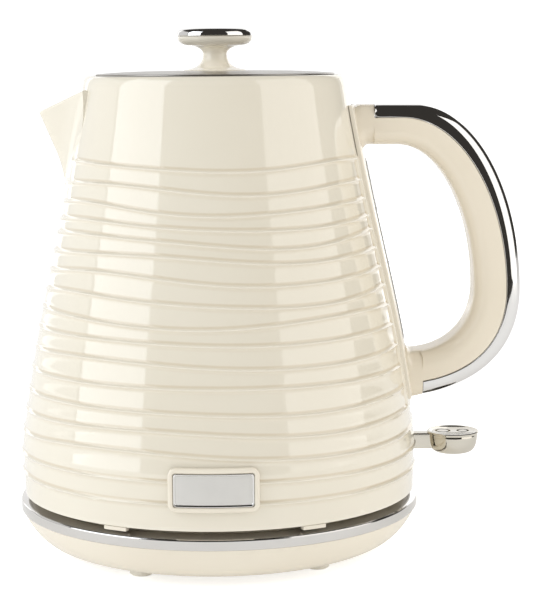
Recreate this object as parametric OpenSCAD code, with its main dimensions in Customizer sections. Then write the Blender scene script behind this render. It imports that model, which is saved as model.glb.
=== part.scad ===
// Cordless electric kettle on a round power base, in millimetres.
// +Z is up. The origin is on the jug's axis, on the surface that the feet stand on.
// The handle points to +X, the spout to -X and the badge to -Y.

/* [Jug] */
// Radius of the jug's bottom edge
jug_bottom_r = 84; // [76:0.5:100]
// Radius of the rim at the top of the jug
jug_top_r = 55.4; // [54:0.1:66]
// Height of the jug's steel shell, from its bottom edge to the rim
jug_height = 175.1; // [150:0.1:215]
// How much wider the jug is where its straight foot meets the taper
belly_swell = 0.7; // [0:0.1:2]
// Height of the straight foot below the taper
foot_band_h = 21.6; // [20:0.1:30]
// How far the tapered side bows out in its lower half
side_bow = 0.8; // [0:0.1:2]
// Thickness of the steel shell
jug_wall = 0.8; // [0.6:0.1:1.5]
// Number of raised ribs round the jug
rib_count = 17; // [6:1:22]
// Depth of the scallops between the ribs
rib_depth = 0.6; // [0.2:0.1:1]
// Height of the first rib above the bottom edge
first_rib_h = 10.1; // [6:0.1:16]
// Height of the smooth band above the last rib
smooth_band_h = 36.5; // [25:0.5:50]
// Height of the heater plate above the jug's bottom edge
plate_rise = 27.6; // [27:0.1:36]

/* [Base] */
// How far the chrome ring stands out beyond the jug's bottom edge
ring_proud = 1; // [0.5:0.1:4]
// Height of the ring's upright band
ring_band_h = 4.1; // [3:0.1:8]
// Thickness of the chrome ring
ring_t = 1.5; // [1:0.1:2]
// Radius of the flat underside of the bowl
bowl_floor_r = 66; // [60:0.5:74]
// Height of the bowl from its flat underside to the chrome ring
bowl_h = 14.8; // [12:0.1:22]
// Thickness of the plastic shells of the base
base_wall = 2.4; // [1.6:0.1:3]
// Height of the feet below the bowl
foot_h = 4.2; // [3:0.1:8]
// Radius of each foot
foot_r = 5; // [4:0.1:7]
// Distance of each foot from the axis
foot_ring_r = 58; // [50:0.5:60]
// Half the angle between the two front feet
foot_half_angle = 38.5; // [25:0.5:45]
// Turn of the base round the axis
base_turn = 6.5; // [-180:0.5:180]
// Bore of the outlet bush for the mains lead
outlet_bore_r = 3.6; // [2.5:0.1:4]

/* [Lid] */
// Radius of the steel lid disc
lid_r = 50.1; // [46:0.1:51]
// Gap round the lid
lid_gap = 0.6; // [0.4:0.1:1.5]
// How far the lid disc is domed
lid_dome_h = 2; // [1:0.1:6]
// Depth of the lid's plug inside the jug
plug_depth = 13; // [10:0.5:18]
// Radius of the knob's head
knob_r = 16; // [12:0.1:22]
// Height of the knob above the lid disc's edge
knob_h = 19.7; // [16:0.1:26]
// Radius of the knob's neck
knob_neck_r = 5; // [4.5:0.1:8]
// Height of the knob's chrome cap
knob_cap_h = 3.5; // [2:0.1:5]

/* [Spout] */
// How far the spout's tip stands out from the axis
spout_reach = 74.6; // [70:0.1:90]
// Drop of the spout's tip below the rim
spout_tip_drop = 14.8; // [10:0.1:20]
// Drop of the spout's lower end below the rim
spout_length = 43; // [34:0.5:55]
// Half the width of the spout where its lip meets the jug
spout_half_w = 15; // [12:0.5:20]
// Thickness of the spout's wall
spout_wall = 1; // [0.8:0.1:1.6]

/* [Handle] */
// How far the handle stands out from the axis
handle_reach = 128; // [122:0.5:150]
// Width of the handle
handle_w = 26; // [20:0.5:28]
// Thickness of the handle at its outermost point
handle_t = 19.5; // [17:0.1:24]
// Thickness of the chrome trim on the handle's back
trim_t = 6.3; // [4:0.1:8]
// Drop of the handle's top edge below the rim
handle_drop = 12.7; // [11:0.1:25]
// Rise of the handle's bottom edge above the jug's bottom edge
handle_rise = 38.8; // [34:0.1:46]

/* [Water gauge] */
// Half the width of the gauge's frame
gauge_half_w = 15; // [14.5:0.5:18]
// Half the width of the gauge's window
window_half_w = 6; // [4:0.5:8]
// How far the gauge's frame stands out from the ribs
gauge_proud = 1.4; // [1:0.1:3]

/* [Badge] */
// Width of the badge's frame
badge_w = 36; // [24:0.5:44]
// Height of the badge's frame
badge_h = 17.5; // [12:0.5:19]
// Height of the badge's centre above the jug's bottom edge
badge_rise = 16.6; // [12:0.1:24]
// Width of the frame round the badge's plate
badge_border = 1.6; // [1:0.1:3]

/* [Switch lever] */
// Radius of the lever's round paddle
paddle_r = 11.1; // [8:0.1:14]
// Distance of the paddle's centre from the jug's bottom edge
paddle_out = 16.7; // [15:0.1:30]
// Height of the lever's bar above the jug's bottom edge
lever_rise = 18.4; // [17:0.1:20]
// Height of the lever's bar
lever_bar_h = 7; // [5:0.1:8]
// Width of the lever's bar
lever_bar_w = 6; // [5:0.1:10]
// How far the lever turns when it is pressed, in degrees
lever_travel = 12; // [5:1:14]

/* [Connector] */
// Radius of the connector's fixed post
post_r = 5.5; // [5:0.1:7]
// Radius of the collar that turns round the post
collar_r = 11.5; // [10:0.1:13]
// Height of the collar above the deck
collar_h = 9.4; // [7:0.1:12]
// Outer radius of the coupler under the jug
coupler_r = 18.5; // [17:0.1:20]
// Gap between the turning and the fixed connector parts
turn_gap = 0.5; // [0.3:0.05:1]

/* [Hidden] */

// Facets of a round shape: any number above 12 is rebuilt as a true circle.
$fn = 96;
// A very small overlap that keeps a cut from leaving a skin.
eps = 0.01;
// The gap left between pieces that are assembled side by side.
fit_gap = 0.2;
// Steps along a curved edge.
curve_steps = 14;

// Colours of the real materials.
cream = "#ece3cb";
silver = "#c9c9c9";
dark = "#3a3835";
brass = "#c8a24a";

// Heights, counted up from the surface that the kettle stands on.
ring_r = jug_bottom_r + ring_proud;
bowl_z = foot_h;
ring_z = bowl_z + bowl_h;
ring_edge_z = ring_z + ring_band_h;
deck_z = ring_edge_z + 1.5;
jug_gap = 1.8;
jug_z = deck_z + jug_gap;
rim_z = jug_z + jug_height;
taper_z = jug_z + foot_band_h;
plate_z = jug_z + plate_rise;
top_rib_z = rim_z - smooth_band_h;
rib_pitch = (top_rib_z - jug_z - first_rib_h) / (rib_count - 1);

// Top of the jug: a plastic ring with a rounded corner rests on the shell's edge and fills it inside.
rim_bore_r = lid_r + lid_gap;
rim_drop = 15.5;
rim_corner_r = 1.6;
shell_end_z = rim_z - 3;

// Handle heights.
handle_top_z = rim_z - handle_drop;
handle_low_z = jug_z + handle_rise;
handle_h = handle_top_z - handle_low_z;
handle_mid_z = handle_low_z + 0.37 * handle_h;

// Lever place.
paddle_x = jug_bottom_r + paddle_out;
lever_z = jug_z + lever_rise;
lever_pin_r = 1.5;
lever_pin_x = jug_bottom_r - 13;
lever_slot_gap = 0.8;
lever_slot_top_z = lever_z + lever_bar_h / 2 + lever_slot_gap;
lever_slot_low_z = lever_z - lever_bar_h / 2 - lever_slot_gap
    - (jug_bottom_r + belly_swell - lever_pin_x) * sin(lever_travel);
running_gap = 0.05;

// Connector heights.
post_top_z = deck_z + 11.4;
pin_r = 2;
coupler_bore_r = collar_r + turn_gap;
coupler_top_z = post_top_z + 6;

// ---------- shared shapes ----------

// Radius of the jug's outside at height z: a straight foot, then a taper with a slight S.
function taper_part(z) = (z - taper_z) / (rim_z - taper_z);
function belly_r() = jug_bottom_r + belly_swell;
function jug_r(z) = z < taper_z
    ? jug_bottom_r + belly_swell * (z - jug_z) / foot_band_h
    : belly_r() + (jug_top_r - belly_r()) * taper_part(z)
        + side_bow * (sin(360 * taper_part(z)) + 0.6 * sin(180 * taper_part(z)));

// Radius of the shell's inside at height z.
function inside_r(z) = jug_r(z) - rib_depth - jug_wall;

// Points of a line that follows the jug's side at a given offset, from z0 up to z1.
function side_line(z0, z1, offset_r, steps) =
    [for (i = [0:steps]) let (z = z0 + (z1 - z0) * i / steps) [jug_r(z) + offset_r, z]];

// The list v from its last item to its first.
function reversed(v) = [for (i = [len(v) - 1:-1:0]) v[i]];

// Points of a cubic curve through its four control points.
function cubic(p0, p1, p2, p3) = [for (i = [0:curve_steps]) let (t = i / curve_steps)
    pow(1 - t, 3) * p0 + 3 * pow(1 - t, 2) * t * p1 + 3 * (1 - t) * t * t * p2 + pow(t, 3) * p3];

// Points of a circle's arc about c, from angle a0 to a1.
function arc(c, r, a0, a1, steps) =
    [for (i = [0:steps]) let (a = a0 + (a1 - a0) * i / steps) c + r * [cos(a), sin(a)]];

// The shell's inside, from the jug's bottom edge up to the height z1.
function inside_line(z1) = concat([[inside_r(jug_z), jug_z]],
    side_line(taper_z, z1, -rib_depth - jug_wall, 16));

// A solid that follows the jug's side, between two offsets and two heights.
module side_sleeve(z0, z1, in_offset, out_offset, steps = 10) {
    rotate_extrude() polygon(concat(side_line(z0, z1, out_offset, steps),
        reversed(side_line(z0, z1, in_offset, steps))));
}

// A solid that fills the jug's outline out to an offset.
module side_core(z0, z1, offset_r, steps = 10) {
    rotate_extrude() polygon(concat([[0, z0]], side_line(z0, z1, offset_r, steps), [[0, z1]]));
}

// A block between two corners.
module block(low, high) {
    translate(low) cube(high - low);
}

// A flat ring.
module washer(r_in, r_out, z0, z1) {
    translate([0, 0, z0]) difference() {
        cylinder(r = r_out, h = z1 - z0);
        translate([0, 0, -1]) cylinder(r = r_in, h = z1 - z0 + 2);
    }
}

// Children at each place of a round pattern.
module around(count, radius, first_angle = 0) {
    for (i = [0:count - 1]) rotate([0, 0, first_angle + i * 360 / count])
        translate([radius, 0, 0]) children();
}

// Children at each of the four feet, which form a rectangle.
module at_feet() {
    for (side = [-1, 1], half = [0, 180])
        rotate([0, 0, base_turn - 90 + side * foot_half_angle + half])
            translate([foot_ring_r, 0, 0]) children();
}

// ---------- power base ----------

boss_r = 4;
boss_ring_r = 44;
base_screw_r = 1.4;
screw_head_r = 2.8;
screw_head_h = 1.6;
neck_r = ring_r - ring_t - fit_gap - 0.3;
bush_z = ring_z - 6.2;
bush_body_r = outlet_bore_r + 1.6;
bush_in_y = bowl_floor_r + 2;
bush_out_y = ring_r - 1;
floor_rim_w = 3;

// Points of the bowl's outside, from the flat floor up to the chrome ring.
function bowl_line(inset) = cubic([bowl_floor_r, bowl_z + inset],
    [bowl_floor_r + 9 - inset, bowl_z + inset], [ring_r - 4.5 - inset, ring_z - 8.6],
    [ring_r - 0.5 - inset, ring_z]);

module base_bowl() {
    color(cream) difference() {
        rotate_extrude() polygon(concat([[bowl_floor_r - floor_rim_w, bowl_z]], bowl_line(0),
            [[neck_r, ring_z], [neck_r, ring_edge_z - 0.9], [neck_r - base_wall, ring_edge_z - 0.9],
            [neck_r - base_wall, ring_z]], reversed(bowl_line(base_wall)),
            [[bowl_floor_r - floor_rim_w, bowl_z + base_wall]]));
        rotate([0, 0, base_turn]) translate([0, bush_in_y - 5, bush_z]) rotate([-90, 0, 0])
            cylinder(r = bush_body_r + fit_gap / 2, h = 40);
    }
}

ring_slope_in_r = ring_r - 5;

module base_ring() {
    color(silver) rotate_extrude() polygon([[ring_r - ring_t, ring_z], [ring_r, ring_z],
        [ring_r, ring_edge_z], [ring_r - 0.2, ring_edge_z + 0.4], [ring_r - 0.6, ring_edge_z + 0.5],
        [ring_slope_in_r, deck_z], [ring_slope_in_r - 1.2, deck_z],
        [ring_slope_in_r - 1.2, ring_edge_z - 0.7], [ring_r - ring_t, ring_edge_z - 0.7]]);
}

deck_r = ring_slope_in_r - 1.2 - fit_gap;

module base_deck() {
    color(cream) union() {
        difference() {
            translate([0, 0, deck_z - base_wall]) cylinder(r = deck_r, h = base_wall);
            translate([0, 0, deck_z - base_wall - 1]) cylinder(r = collar_r + turn_gap, h = base_wall + 2);
        }
        washer(deck_r - 2, deck_r, deck_z - 6, deck_z - base_wall + eps);
        around(4, boss_ring_r, 45 + base_turn) difference() {
            translate([0, 0, bowl_z + base_wall]) cylinder(r = boss_r, h = deck_z - bowl_z - 2 * base_wall + eps);
            translate([0, 0, bowl_z]) cylinder(r = base_screw_r, h = 11);
        }
    }
}

module base_bottom() {
    color(cream) difference() {
        union() {
            translate([0, 0, bowl_z]) cylinder(r = bowl_floor_r - floor_rim_w - fit_gap, h = base_wall);
            washer(bowl_floor_r - 12, bowl_floor_r - 0.5, bowl_z + base_wall, bowl_z + base_wall + 1.4);
        }
        around(4, boss_ring_r, 45 + base_turn) {
            translate([0, 0, bowl_z - 1]) cylinder(r = base_screw_r, h = 8);
            translate([0, 0, bowl_z - 1]) cylinder(r = screw_head_r + fit_gap, h = 1 + screw_head_h);
        }
        at_feet() translate([0, 0, bowl_z - 1]) cylinder(r = foot_r - 1.8, h = 2);
    }
}

module base_feet() {
    color(cream) at_feet() union() {
        cylinder(r = foot_r, h = foot_h);
        cylinder(r = foot_r - 2, h = foot_h + 1);
    }
}

module base_screws() {
    color(silver) around(4, boss_ring_r, 45 + base_turn) union() {
        translate([0, 0, bowl_z]) cylinder(r = screw_head_r, h = screw_head_h);
        translate([0, 0, bowl_z]) cylinder(r = base_screw_r, h = 10);
    }
}

module outlet_bush() {
    color(dark) rotate([0, 0, base_turn]) translate([0, 0, bush_z]) rotate([-90, 0, 0]) difference() {
        translate([0, 0, bush_in_y]) cylinder(r = bush_body_r, h = bush_out_y - bush_in_y);
        translate([0, 0, bush_in_y - 1]) cylinder(r = outlet_bore_r, h = bush_out_y - bush_in_y + 2);
    }
}

// ---------- connector ----------

housing_r = coupler_r + 3;
housing_z = bowl_z + base_wall + 4;

module connector_post() {
    color(dark) difference() {
        union() {
            translate([0, 0, housing_z]) cylinder(r = housing_r, h = deck_z - base_wall - housing_z);
            translate([0, 0, housing_z]) cylinder(r = post_r, h = post_top_z - housing_z);
        }
        washer(post_r, collar_r + turn_gap, deck_z - base_wall - 6, deck_z);
        translate([0, 0, housing_z - 1]) cylinder(r = pin_r, h = post_top_z - housing_z + 2);
    }
}

module connector_pin() {
    color(brass) union() {
        translate([0, 0, housing_z - 3]) cylinder(r = pin_r, h = post_top_z - housing_z + 4);
        translate([0, 0, post_top_z + 1]) cylinder(r1 = pin_r, r2 = pin_r - 1, h = 1);
    }
}

module terminal_blades() {
    color(brass) for (angle = [60, 180, 300]) rotate([0, 0, angle + base_turn])
        block([10, -3, housing_z - 3], [10.8, 3, housing_z]);
}

module connector_collar() {
    color(dark) difference() {
        translate([0, 0, deck_z - base_wall - 4]) cylinder(r = collar_r, h = collar_h + base_wall + 4);
        translate([0, 0, deck_z - base_wall - 5]) cylinder(r = post_r + turn_gap, h = collar_h + base_wall + 6);
    }
}

// ---------- jug ----------

// Outside of the shell: a sharp crest at each rib, with a scallop below and above it.
function rib_z(i) = jug_z + first_rib_h + i * rib_pitch;
function rib_line() = [for (i = [0:rib_count - 1], part = [0, 1])
    part == 0 ? [jug_r(rib_z(i)), rib_z(i)]
        : [jug_r(rib_z(i + 0.5)) - rib_depth, rib_z(i + 0.5)]];

module jug_shell() {
    color(cream) difference() {
        rotate_extrude() polygon(concat([[jug_r(jug_z) - rib_depth, jug_z]], rib_line(),
            [for (z = [top_rib_z + rib_pitch:6:shell_end_z - 2]) [jug_r(z) - rib_depth, z]],
            [[jug_r(shell_end_z) - rib_depth, shell_end_z]], reversed(inside_line(shell_end_z))));
        spout_mouth();
        handle_screw_holes();
        block([0, -window_half_w - 1, window_low_z - 1], [jug_bottom_r + 9, window_half_w + 1, window_top_z + 1]);
        block([lever_pin_x, -lever_bar_w / 2 - lever_slot_gap, lever_slot_low_z],
            [jug_bottom_r + 9, lever_bar_w / 2 + lever_slot_gap, lever_slot_top_z]);
    }
}

// The ring that the lid sits in. It rests on the shell's edge, and its rounded corner is flush with the shell.
module jug_rim() {
    rest_z = shell_end_z + fit_gap;
    corner_r = jug_r(rim_z) - rib_depth;
    color(cream) rotate_extrude() polygon(concat([[rim_bore_r, rim_z - rim_drop],
        [inside_r(rim_z - rim_drop) - fit_gap, rim_z - rim_drop], [inside_r(rest_z) - fit_gap, rest_z],
        [jug_r(rest_z) - rib_depth, rest_z]],
        arc([corner_r - rim_corner_r, rim_z - rim_corner_r], rim_corner_r, 10, 90, 6),
        [[rim_bore_r + 0.4, rim_z], [rim_bore_r, rim_z - 0.4]]));
}

// ---------- spout and filter ----------

spout_tip_z = rim_z - spout_tip_drop;
spout_low_z = rim_z - spout_length;
spout_top_z = rim_z - 6.8;
spout_low_x = jug_r(spout_low_z);
spout_root_x = sqrt(pow(jug_r(spout_top_z), 2) - pow(spout_half_w, 2));
spout_lean = atan((spout_reach - spout_low_x) / (spout_tip_z - spout_low_z));
spout_v_angle = atan(spout_half_w / ((spout_reach - spout_root_x) * cos(spout_lean)));
spout_edge_r = 2.4;
spout_depth = spout_reach - spout_root_x + 10;

// A V-shaped prism along the spout's sloping front edge, drawn in by a wall's thickness for the channel.
module spout_prism(inset) {
    edge_x = spout_edge_r;
    back_x = edge_x - spout_edge_r / sin(spout_v_angle) + spout_depth;
    back_y = spout_depth * tan(spout_v_angle) - inset / cos(spout_v_angle);
    translate([-spout_low_x, 0, spout_low_z]) rotate([0, -spout_lean, 0])
        translate([0, 0, -spout_length / 2]) linear_extrude(height = 2 * spout_length)
            polygon(concat(arc([edge_x, 0], spout_edge_r - inset, 90 + spout_v_angle, 270 - spout_v_angle, 10),
                [[back_x, -back_y], [back_x, back_y]]));
}

// What lies above the spout's lip, which rises from the tip to the jug.
module above_lip() {
    rise = (spout_top_z - spout_tip_z) / (spout_reach - jug_r(spout_top_z));
    far_x = 2 * spout_reach;
    rotate([90, 0, 0]) linear_extrude(height = 4 * spout_half_w, center = true)
        polygon([[-far_x, spout_tip_z - rise * (far_x - spout_reach)], [0, spout_tip_z + rise * spout_reach],
            [0, 2 * rim_z], [-far_x, 2 * rim_z]]);
}

// The opening in the shell behind the spout: a window that narrows downwards, as the spout does.
module spout_mouth() {
    mouth_low_z = spout_low_z + 9;
    mouth_top_z = rim_z - rim_drop - 1;
    mouth_half_w = spout_half_w / 2;
    translate([-jug_bottom_r, 0, 0]) rotate([90, 0, 90]) linear_extrude(height = jug_bottom_r)
        polygon([[-2, mouth_low_z], [2, mouth_low_z], [mouth_half_w, mouth_top_z],
            [-mouth_half_w, mouth_top_z]]);
}

module spout() {
    color(cream) difference() {
        spout_prism(0);
        spout_prism(spout_wall);
        above_lip();
        side_core(jug_z, rim_z, fit_gap);
    }
}

filter_x = -49;
filter_t = 2;
filter_top_z = rim_z - rim_drop;
filter_h = 32;
filter_half_w = 17;
filter_border = 2.5;

module filter_frame() {
    color(cream) difference() {
        block([filter_x - filter_t, -filter_half_w, filter_top_z - filter_h], [filter_x, filter_half_w, filter_top_z]);
        block([filter_x - filter_t - 1, -filter_half_w + filter_border, filter_top_z - filter_h + filter_border],
            [filter_x + 1, filter_half_w - filter_border, filter_top_z - filter_border]);
        block([filter_x - 1.4, -filter_half_w + 1, filter_top_z - filter_h + 1],
            [filter_x - 0.6, filter_half_w - 1, filter_top_z - 1]);
    }
}

mesh_pitch = 3;
mesh_wire = 0.8;

module filter_mesh() {
    half = filter_half_w - 1.2;
    tall = filter_h - 2.4;
    color(silver) translate([filter_x - 1.2, 0, filter_top_z - 1.2 - tall]) rotate([90, 0, 90])
        linear_extrude(height = 0.4) difference() {
            translate([-half, 0]) square([2 * half, tall]);
            for (i = [0:floor(2 * half / mesh_pitch) - 1], j = [0:floor(tall / mesh_pitch) - 1])
                translate([-half + mesh_wire + i * mesh_pitch, mesh_wire + j * mesh_pitch])
                    square(mesh_pitch - mesh_wire);
        }
}

// ---------- heater and control ----------

plate_t = 1.2;
seal_w = 2;
stud_r = 3;
stud_ring_r = 34;
element_ring_r = 42;
element_r = 3.5;
spreader_t = 2.5;
cover_t = 1.6;
cover_z = jug_z + fit_gap;
cover_screw_r = 1.5;
control_r = 26;
control_top_z = plate_z - plate_t - spreader_t - 1;
tube_r = 4;
tube_x = 46;
tube_y = 20;

module heater_plate() {
    color(silver) union() {
        difference() {
            translate([0, 0, plate_z - plate_t]) cylinder(r = inside_r(plate_z) - seal_w, h = plate_t);
            translate([tube_x, tube_y, plate_z - 5]) cylinder(r = tube_r + fit_gap, h = 10);
        }
        around(3, stud_ring_r, 90) difference() {
            translate([0, 0, cover_z + cover_t]) cylinder(r = stud_r, h = plate_z - plate_t - cover_z - cover_t + eps);
            translate([0, 0, cover_z]) cylinder(r = cover_screw_r, h = 12);
        }
    }
}

module plate_seal() {
    seal_z0 = plate_z - plate_t - 1;
    seal_z1 = plate_z + 1;
    bite = inside_r(plate_z) - seal_w;
    color(dark) rotate_extrude() polygon([[bite - 2, seal_z0], [inside_r(seal_z0) - 0.1, seal_z0],
        [inside_r(seal_z1) - 0.1, seal_z1], [bite - 2, seal_z1], [bite - 2, plate_z], [bite, plate_z],
        [bite, plate_z - plate_t], [bite - 2, plate_z - plate_t]]);
}

module heat_spreader() {
    color(silver) difference() {
        translate([0, 0, plate_z - plate_t - spreader_t]) cylinder(r = element_ring_r + 8, h = spreader_t);
        translate([tube_x, tube_y, plate_z - 9]) cylinder(r = tube_r + 1, h = 12);
        around(3, stud_ring_r, 90) translate([0, 0, plate_z - 9]) cylinder(r = stud_r + fit_gap, h = 12);
    }
}

// A tube bent to three quarters of a circle, with its ends turned down as terminals.
module heating_element() {
    element_z = plate_z - plate_t - spreader_t - element_r;
    color(silver) rotate([0, 0, 65]) union() {
        translate([0, 0, element_z]) rotate_extrude(angle = 270)
            translate([element_ring_r, 0]) circle(r = element_r, $fn = 48);
        for (angle = [0, 270]) rotate([0, 0, angle]) translate([element_ring_r, 0, element_z - 7])
            cylinder(r = 1.8, h = 7);
    }
}

module control_block() {
    color(dark) difference() {
        translate([0, 0, coupler_top_z]) cylinder(r = control_r, h = control_top_z - coupler_top_z);
        translate([0, 0, coupler_top_z - 1]) cylinder(r = 9, h = 3);
    }
}

module bimetal_disc() {
    color(brass) translate([0, 0, control_top_z]) cylinder(r = 9, h = 0.6);
}

module jug_coupler() {
    color(dark) difference() {
        translate([0, 0, cover_z + fit_gap]) cylinder(r = coupler_r, h = coupler_top_z - cover_z - fit_gap);
        translate([0, 0, deck_z]) cylinder(r = coupler_bore_r, h = collar_h + 1);
        translate([0, 0, deck_z]) cylinder(r = post_r + 1, h = post_top_z - deck_z + 2.5);
    }
}

tab_r = jug_bottom_r - 0.1;
tab_in_r = tab_r - 2.4;
tab_drop = 1.5;
tab_angle = 28;
tab_half_w = 5;

// The plate that closes the jug's underside, with a ring to stand on and four tabs at its edge.
module bottom_cover() {
    color(cream) union() {
        difference() {
            translate([0, 0, cover_z]) cylinder(r = inside_r(jug_z) - fit_gap, h = cover_t);
            translate([0, 0, cover_z - 1]) cylinder(r = coupler_r + fit_gap, h = cover_t + 2);
            around(3, stud_ring_r, 90) translate([0, 0, cover_z - 1]) cylinder(r = cover_screw_r, h = 4);
            translate([lever_pin_x - 20, -7, cover_z - 1]) cube([5, 14, cover_t + 2]);
        }
        washer(66, 70, deck_z, cover_z + eps);
        for (side = [-1, 1], half = [0, 180]) rotate([0, 0, -90 + side * tab_angle + half]) intersection() {
            washer(tab_in_r, tab_r, jug_z - tab_drop, jug_z - 0.1);
            block([tab_in_r - 2, -tab_half_w, 0], [tab_r + 2, tab_half_w, jug_z]);
        }
        for (side = [-1, 1], half = [0, 180]) rotate([0, 0, -90 + side * tab_angle + half]) intersection() {
            washer(tab_in_r, inside_r(jug_z) - fit_gap, jug_z - 0.2, cover_z + eps);
            block([tab_in_r - 2, -tab_half_w, 0], [tab_r + 2, tab_half_w, rim_z]);
        }
    }
}

module cover_screws() {
    color(silver) around(3, stud_ring_r, 90) union() {
        translate([0, 0, cover_z - screw_head_h + 0.2]) cylinder(r = screw_head_r, h = screw_head_h - 0.2);
        translate([0, 0, cover_z - 0.2]) cylinder(r = cover_screw_r, h = 12);
    }
}

module steam_tube() {
    tube_low_z = plate_z - 14;
    color(silver) translate([tube_x, tube_y, tube_low_z]) difference() {
        cylinder(r = tube_r, h = rim_z - rim_drop - 3 - tube_low_z);
        translate([0, 0, -1]) cylinder(r = tube_r - 0.8, h = jug_height);
    }
}

// ---------- switch lever ----------

hub_r = 4;
hub_half_w = 3;
bracket_gap = 0.5;
bracket_t = 3;

module lever_bracket() {
    color(dark) for (side = [-1, 1]) translate([0, side * (hub_half_w + bracket_gap + bracket_t / 2), 0]) difference() {
        block([lever_pin_x - 5, -bracket_t / 2, cover_z + cover_t], [lever_pin_x + 5, bracket_t / 2, lever_z + 4]);
        translate([lever_pin_x, 0, lever_z]) rotate([90, 0, 0])
            cylinder(r = lever_pin_r + running_gap, h = bracket_t + 2, center = true);
    }
}

module lever_pin() {
    reach = hub_half_w + bracket_gap + bracket_t;
    color(silver) translate([lever_pin_x, 0, lever_z]) rotate([90, 0, 0])
        cylinder(r = lever_pin_r, h = 2 * reach, center = true);
}

// One moulding: a trip arm inside the jug, a hub on the pin, a bar through the slot and a paddle.
module switch_lever() {
    paddle_top_z = lever_z + lever_bar_h / 2;
    paddle_h = 9.6;
    round_r = 5;
    color(silver) difference() {
        union() {
            translate([lever_pin_x, 0, lever_z]) rotate([90, 0, 0])
                cylinder(r = hub_r, h = 2 * hub_half_w, center = true);
            block([lever_pin_x, -lever_bar_w / 2, lever_z - lever_bar_h / 2],
                [paddle_x - 2, lever_bar_w / 2, paddle_top_z]);
            block([lever_pin_x - 22, -hub_half_w, lever_z - 3.5], [lever_pin_x, hub_half_w, lever_z - 0.5]);
            translate([paddle_x, 0, paddle_top_z]) rotate_extrude() polygon(concat(
                [[0, -paddle_h]], arc([paddle_r - round_r - 0.6, -paddle_h + round_r], round_r, -90, -10, 6),
                [[paddle_r, -0.8], [paddle_r - 0.3, 0], [0, 0]]));
        }
        translate([lever_pin_x, 0, lever_z]) rotate([90, 0, 0])
            cylinder(r = lever_pin_r + running_gap, h = 20, center = true);
        translate([paddle_x - 4.2, 0, paddle_top_z - 0.5]) washer(1.9, 2.7, 0, 2);
        block([paddle_x + 3, -2.8, paddle_top_z - 0.5], [paddle_x + 4, 2.8, paddle_top_z + 1]);
    }
}

// ---------- water gauge ----------

gauge_low_z = handle_low_z + 0.1;
gauge_top_z = handle_top_z - 0.1;
window_low_z = handle_low_z + 24;
window_top_z = handle_top_z - 22;

module gauge_frame() {
    color(cream) difference() {
        intersection() {
            side_sleeve(gauge_low_z, gauge_top_z, 0.1, gauge_proud);
            block([0, -gauge_half_w, 0], [jug_bottom_r + 9, gauge_half_w, rim_z]);
        }
        block([0, -window_half_w - fit_gap, window_low_z - fit_gap],
            [jug_bottom_r + 9, window_half_w + fit_gap, window_top_z + fit_gap]);
        handle_screw_holes();
    }
}

module gauge_window() {
    color("#dfe8ee", 0.5) intersection() {
        side_sleeve(window_low_z, window_top_z, -rib_depth - jug_wall - 1.6, gauge_proud + 0.4);
        block([0, -window_half_w, 0], [jug_bottom_r + 9, window_half_w, rim_z]);
    }
}

module gauge_gasket() {
    color(dark) difference() {
        intersection() {
            side_sleeve(window_low_z - 3, window_top_z + 3, -rib_depth - jug_wall - 1.6, -rib_depth - jug_wall - 0.1);
            block([0, -window_half_w - 3, 0], [jug_bottom_r + 9, window_half_w + 3, rim_z]);
        }
        block([0, -window_half_w - 0.1, window_low_z - 0.1],
            [jug_bottom_r + 9, window_half_w + 0.1, window_top_z + 0.1]);
    }
}

// ---------- badge ----------

badge_z = jug_z + badge_rise;
badge_corner_r = 3;

// A rectangle with round corners, drawn across the front and pushed back through the jug's side.
module badge_block(w, h, corner_r) {
    translate([0, 0, badge_z]) rotate([90, 0, 0]) linear_extrude(height = jug_bottom_r + 9) union() {
        square([w - 2 * corner_r, h], center = true);
        square([w, h - 2 * corner_r], center = true);
        for (x = [-1, 1], y = [-1, 1]) translate([x * (w / 2 - corner_r), y * (h / 2 - corner_r)])
            circle(r = corner_r, $fn = 32);
    }
}

module badge_frame() {
    color(cream) difference() {
        intersection() {
            badge_block(badge_w, badge_h, badge_corner_r);
            washer(belly_r() + 0.1, belly_r() + 1.7, badge_z - badge_h, badge_z + badge_h);
        }
        intersection() {
            badge_block(badge_w - 2 * badge_border, badge_h - 2 * badge_border, badge_corner_r - badge_border);
            washer(belly_r() + 0.6, belly_r() + 3, badge_z - badge_h, badge_z + badge_h);
        }
    }
}

module badge_plate() {
    gap = badge_border + fit_gap;
    color(silver) intersection() {
        badge_block(badge_w - 2 * gap, badge_h - 2 * gap, badge_corner_r - badge_border);
        washer(belly_r() + 0.7, belly_r() + 1.5, badge_z - badge_h, badge_z + badge_h);
    }
}

// ---------- handle ----------

// A D-shaped curve: along the top, out to its furthest point and back to the bottom.
function d_curve(top_x, top_z, out_x, mid_z, low_x, low_z, lift) = concat(
    cubic([top_x, top_z], [top_x + 0.58 * (out_x - top_x), top_z],
        [out_x, mid_z + 0.52 * (top_z - mid_z)], [out_x, mid_z]),
    cubic([out_x, mid_z], [out_x, mid_z - 0.6 * (mid_z - low_z)],
        [low_x + 0.6 * (out_x - low_x), low_z + lift], [low_x, low_z]));

root_top_x = jug_top_r - 10;
root_low_x = jug_bottom_r - 14;
root_t = 16.5;
back_line = d_curve(jug_top_r + 28, handle_top_z, handle_reach, handle_mid_z,
    jug_bottom_r - 4, handle_low_z, 3);
seam_line = d_curve(jug_top_r + 22, handle_top_z - trim_t + 1, handle_reach - trim_t, handle_mid_z,
    jug_bottom_r, handle_low_z + trim_t + 0.6, 3);
palm_line = d_curve(jug_top_r + 20, handle_top_z - root_t, handle_reach - handle_t, handle_mid_z + 1,
    jug_bottom_r - 4, handle_low_z + root_t + 2.5, 0);

// The line a share of the way from the palm side to the seam.
function between(share) = [for (i = [0:len(palm_line) - 1])
    palm_line[i] * (1 - share) + seam_line[i] * share];

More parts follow.
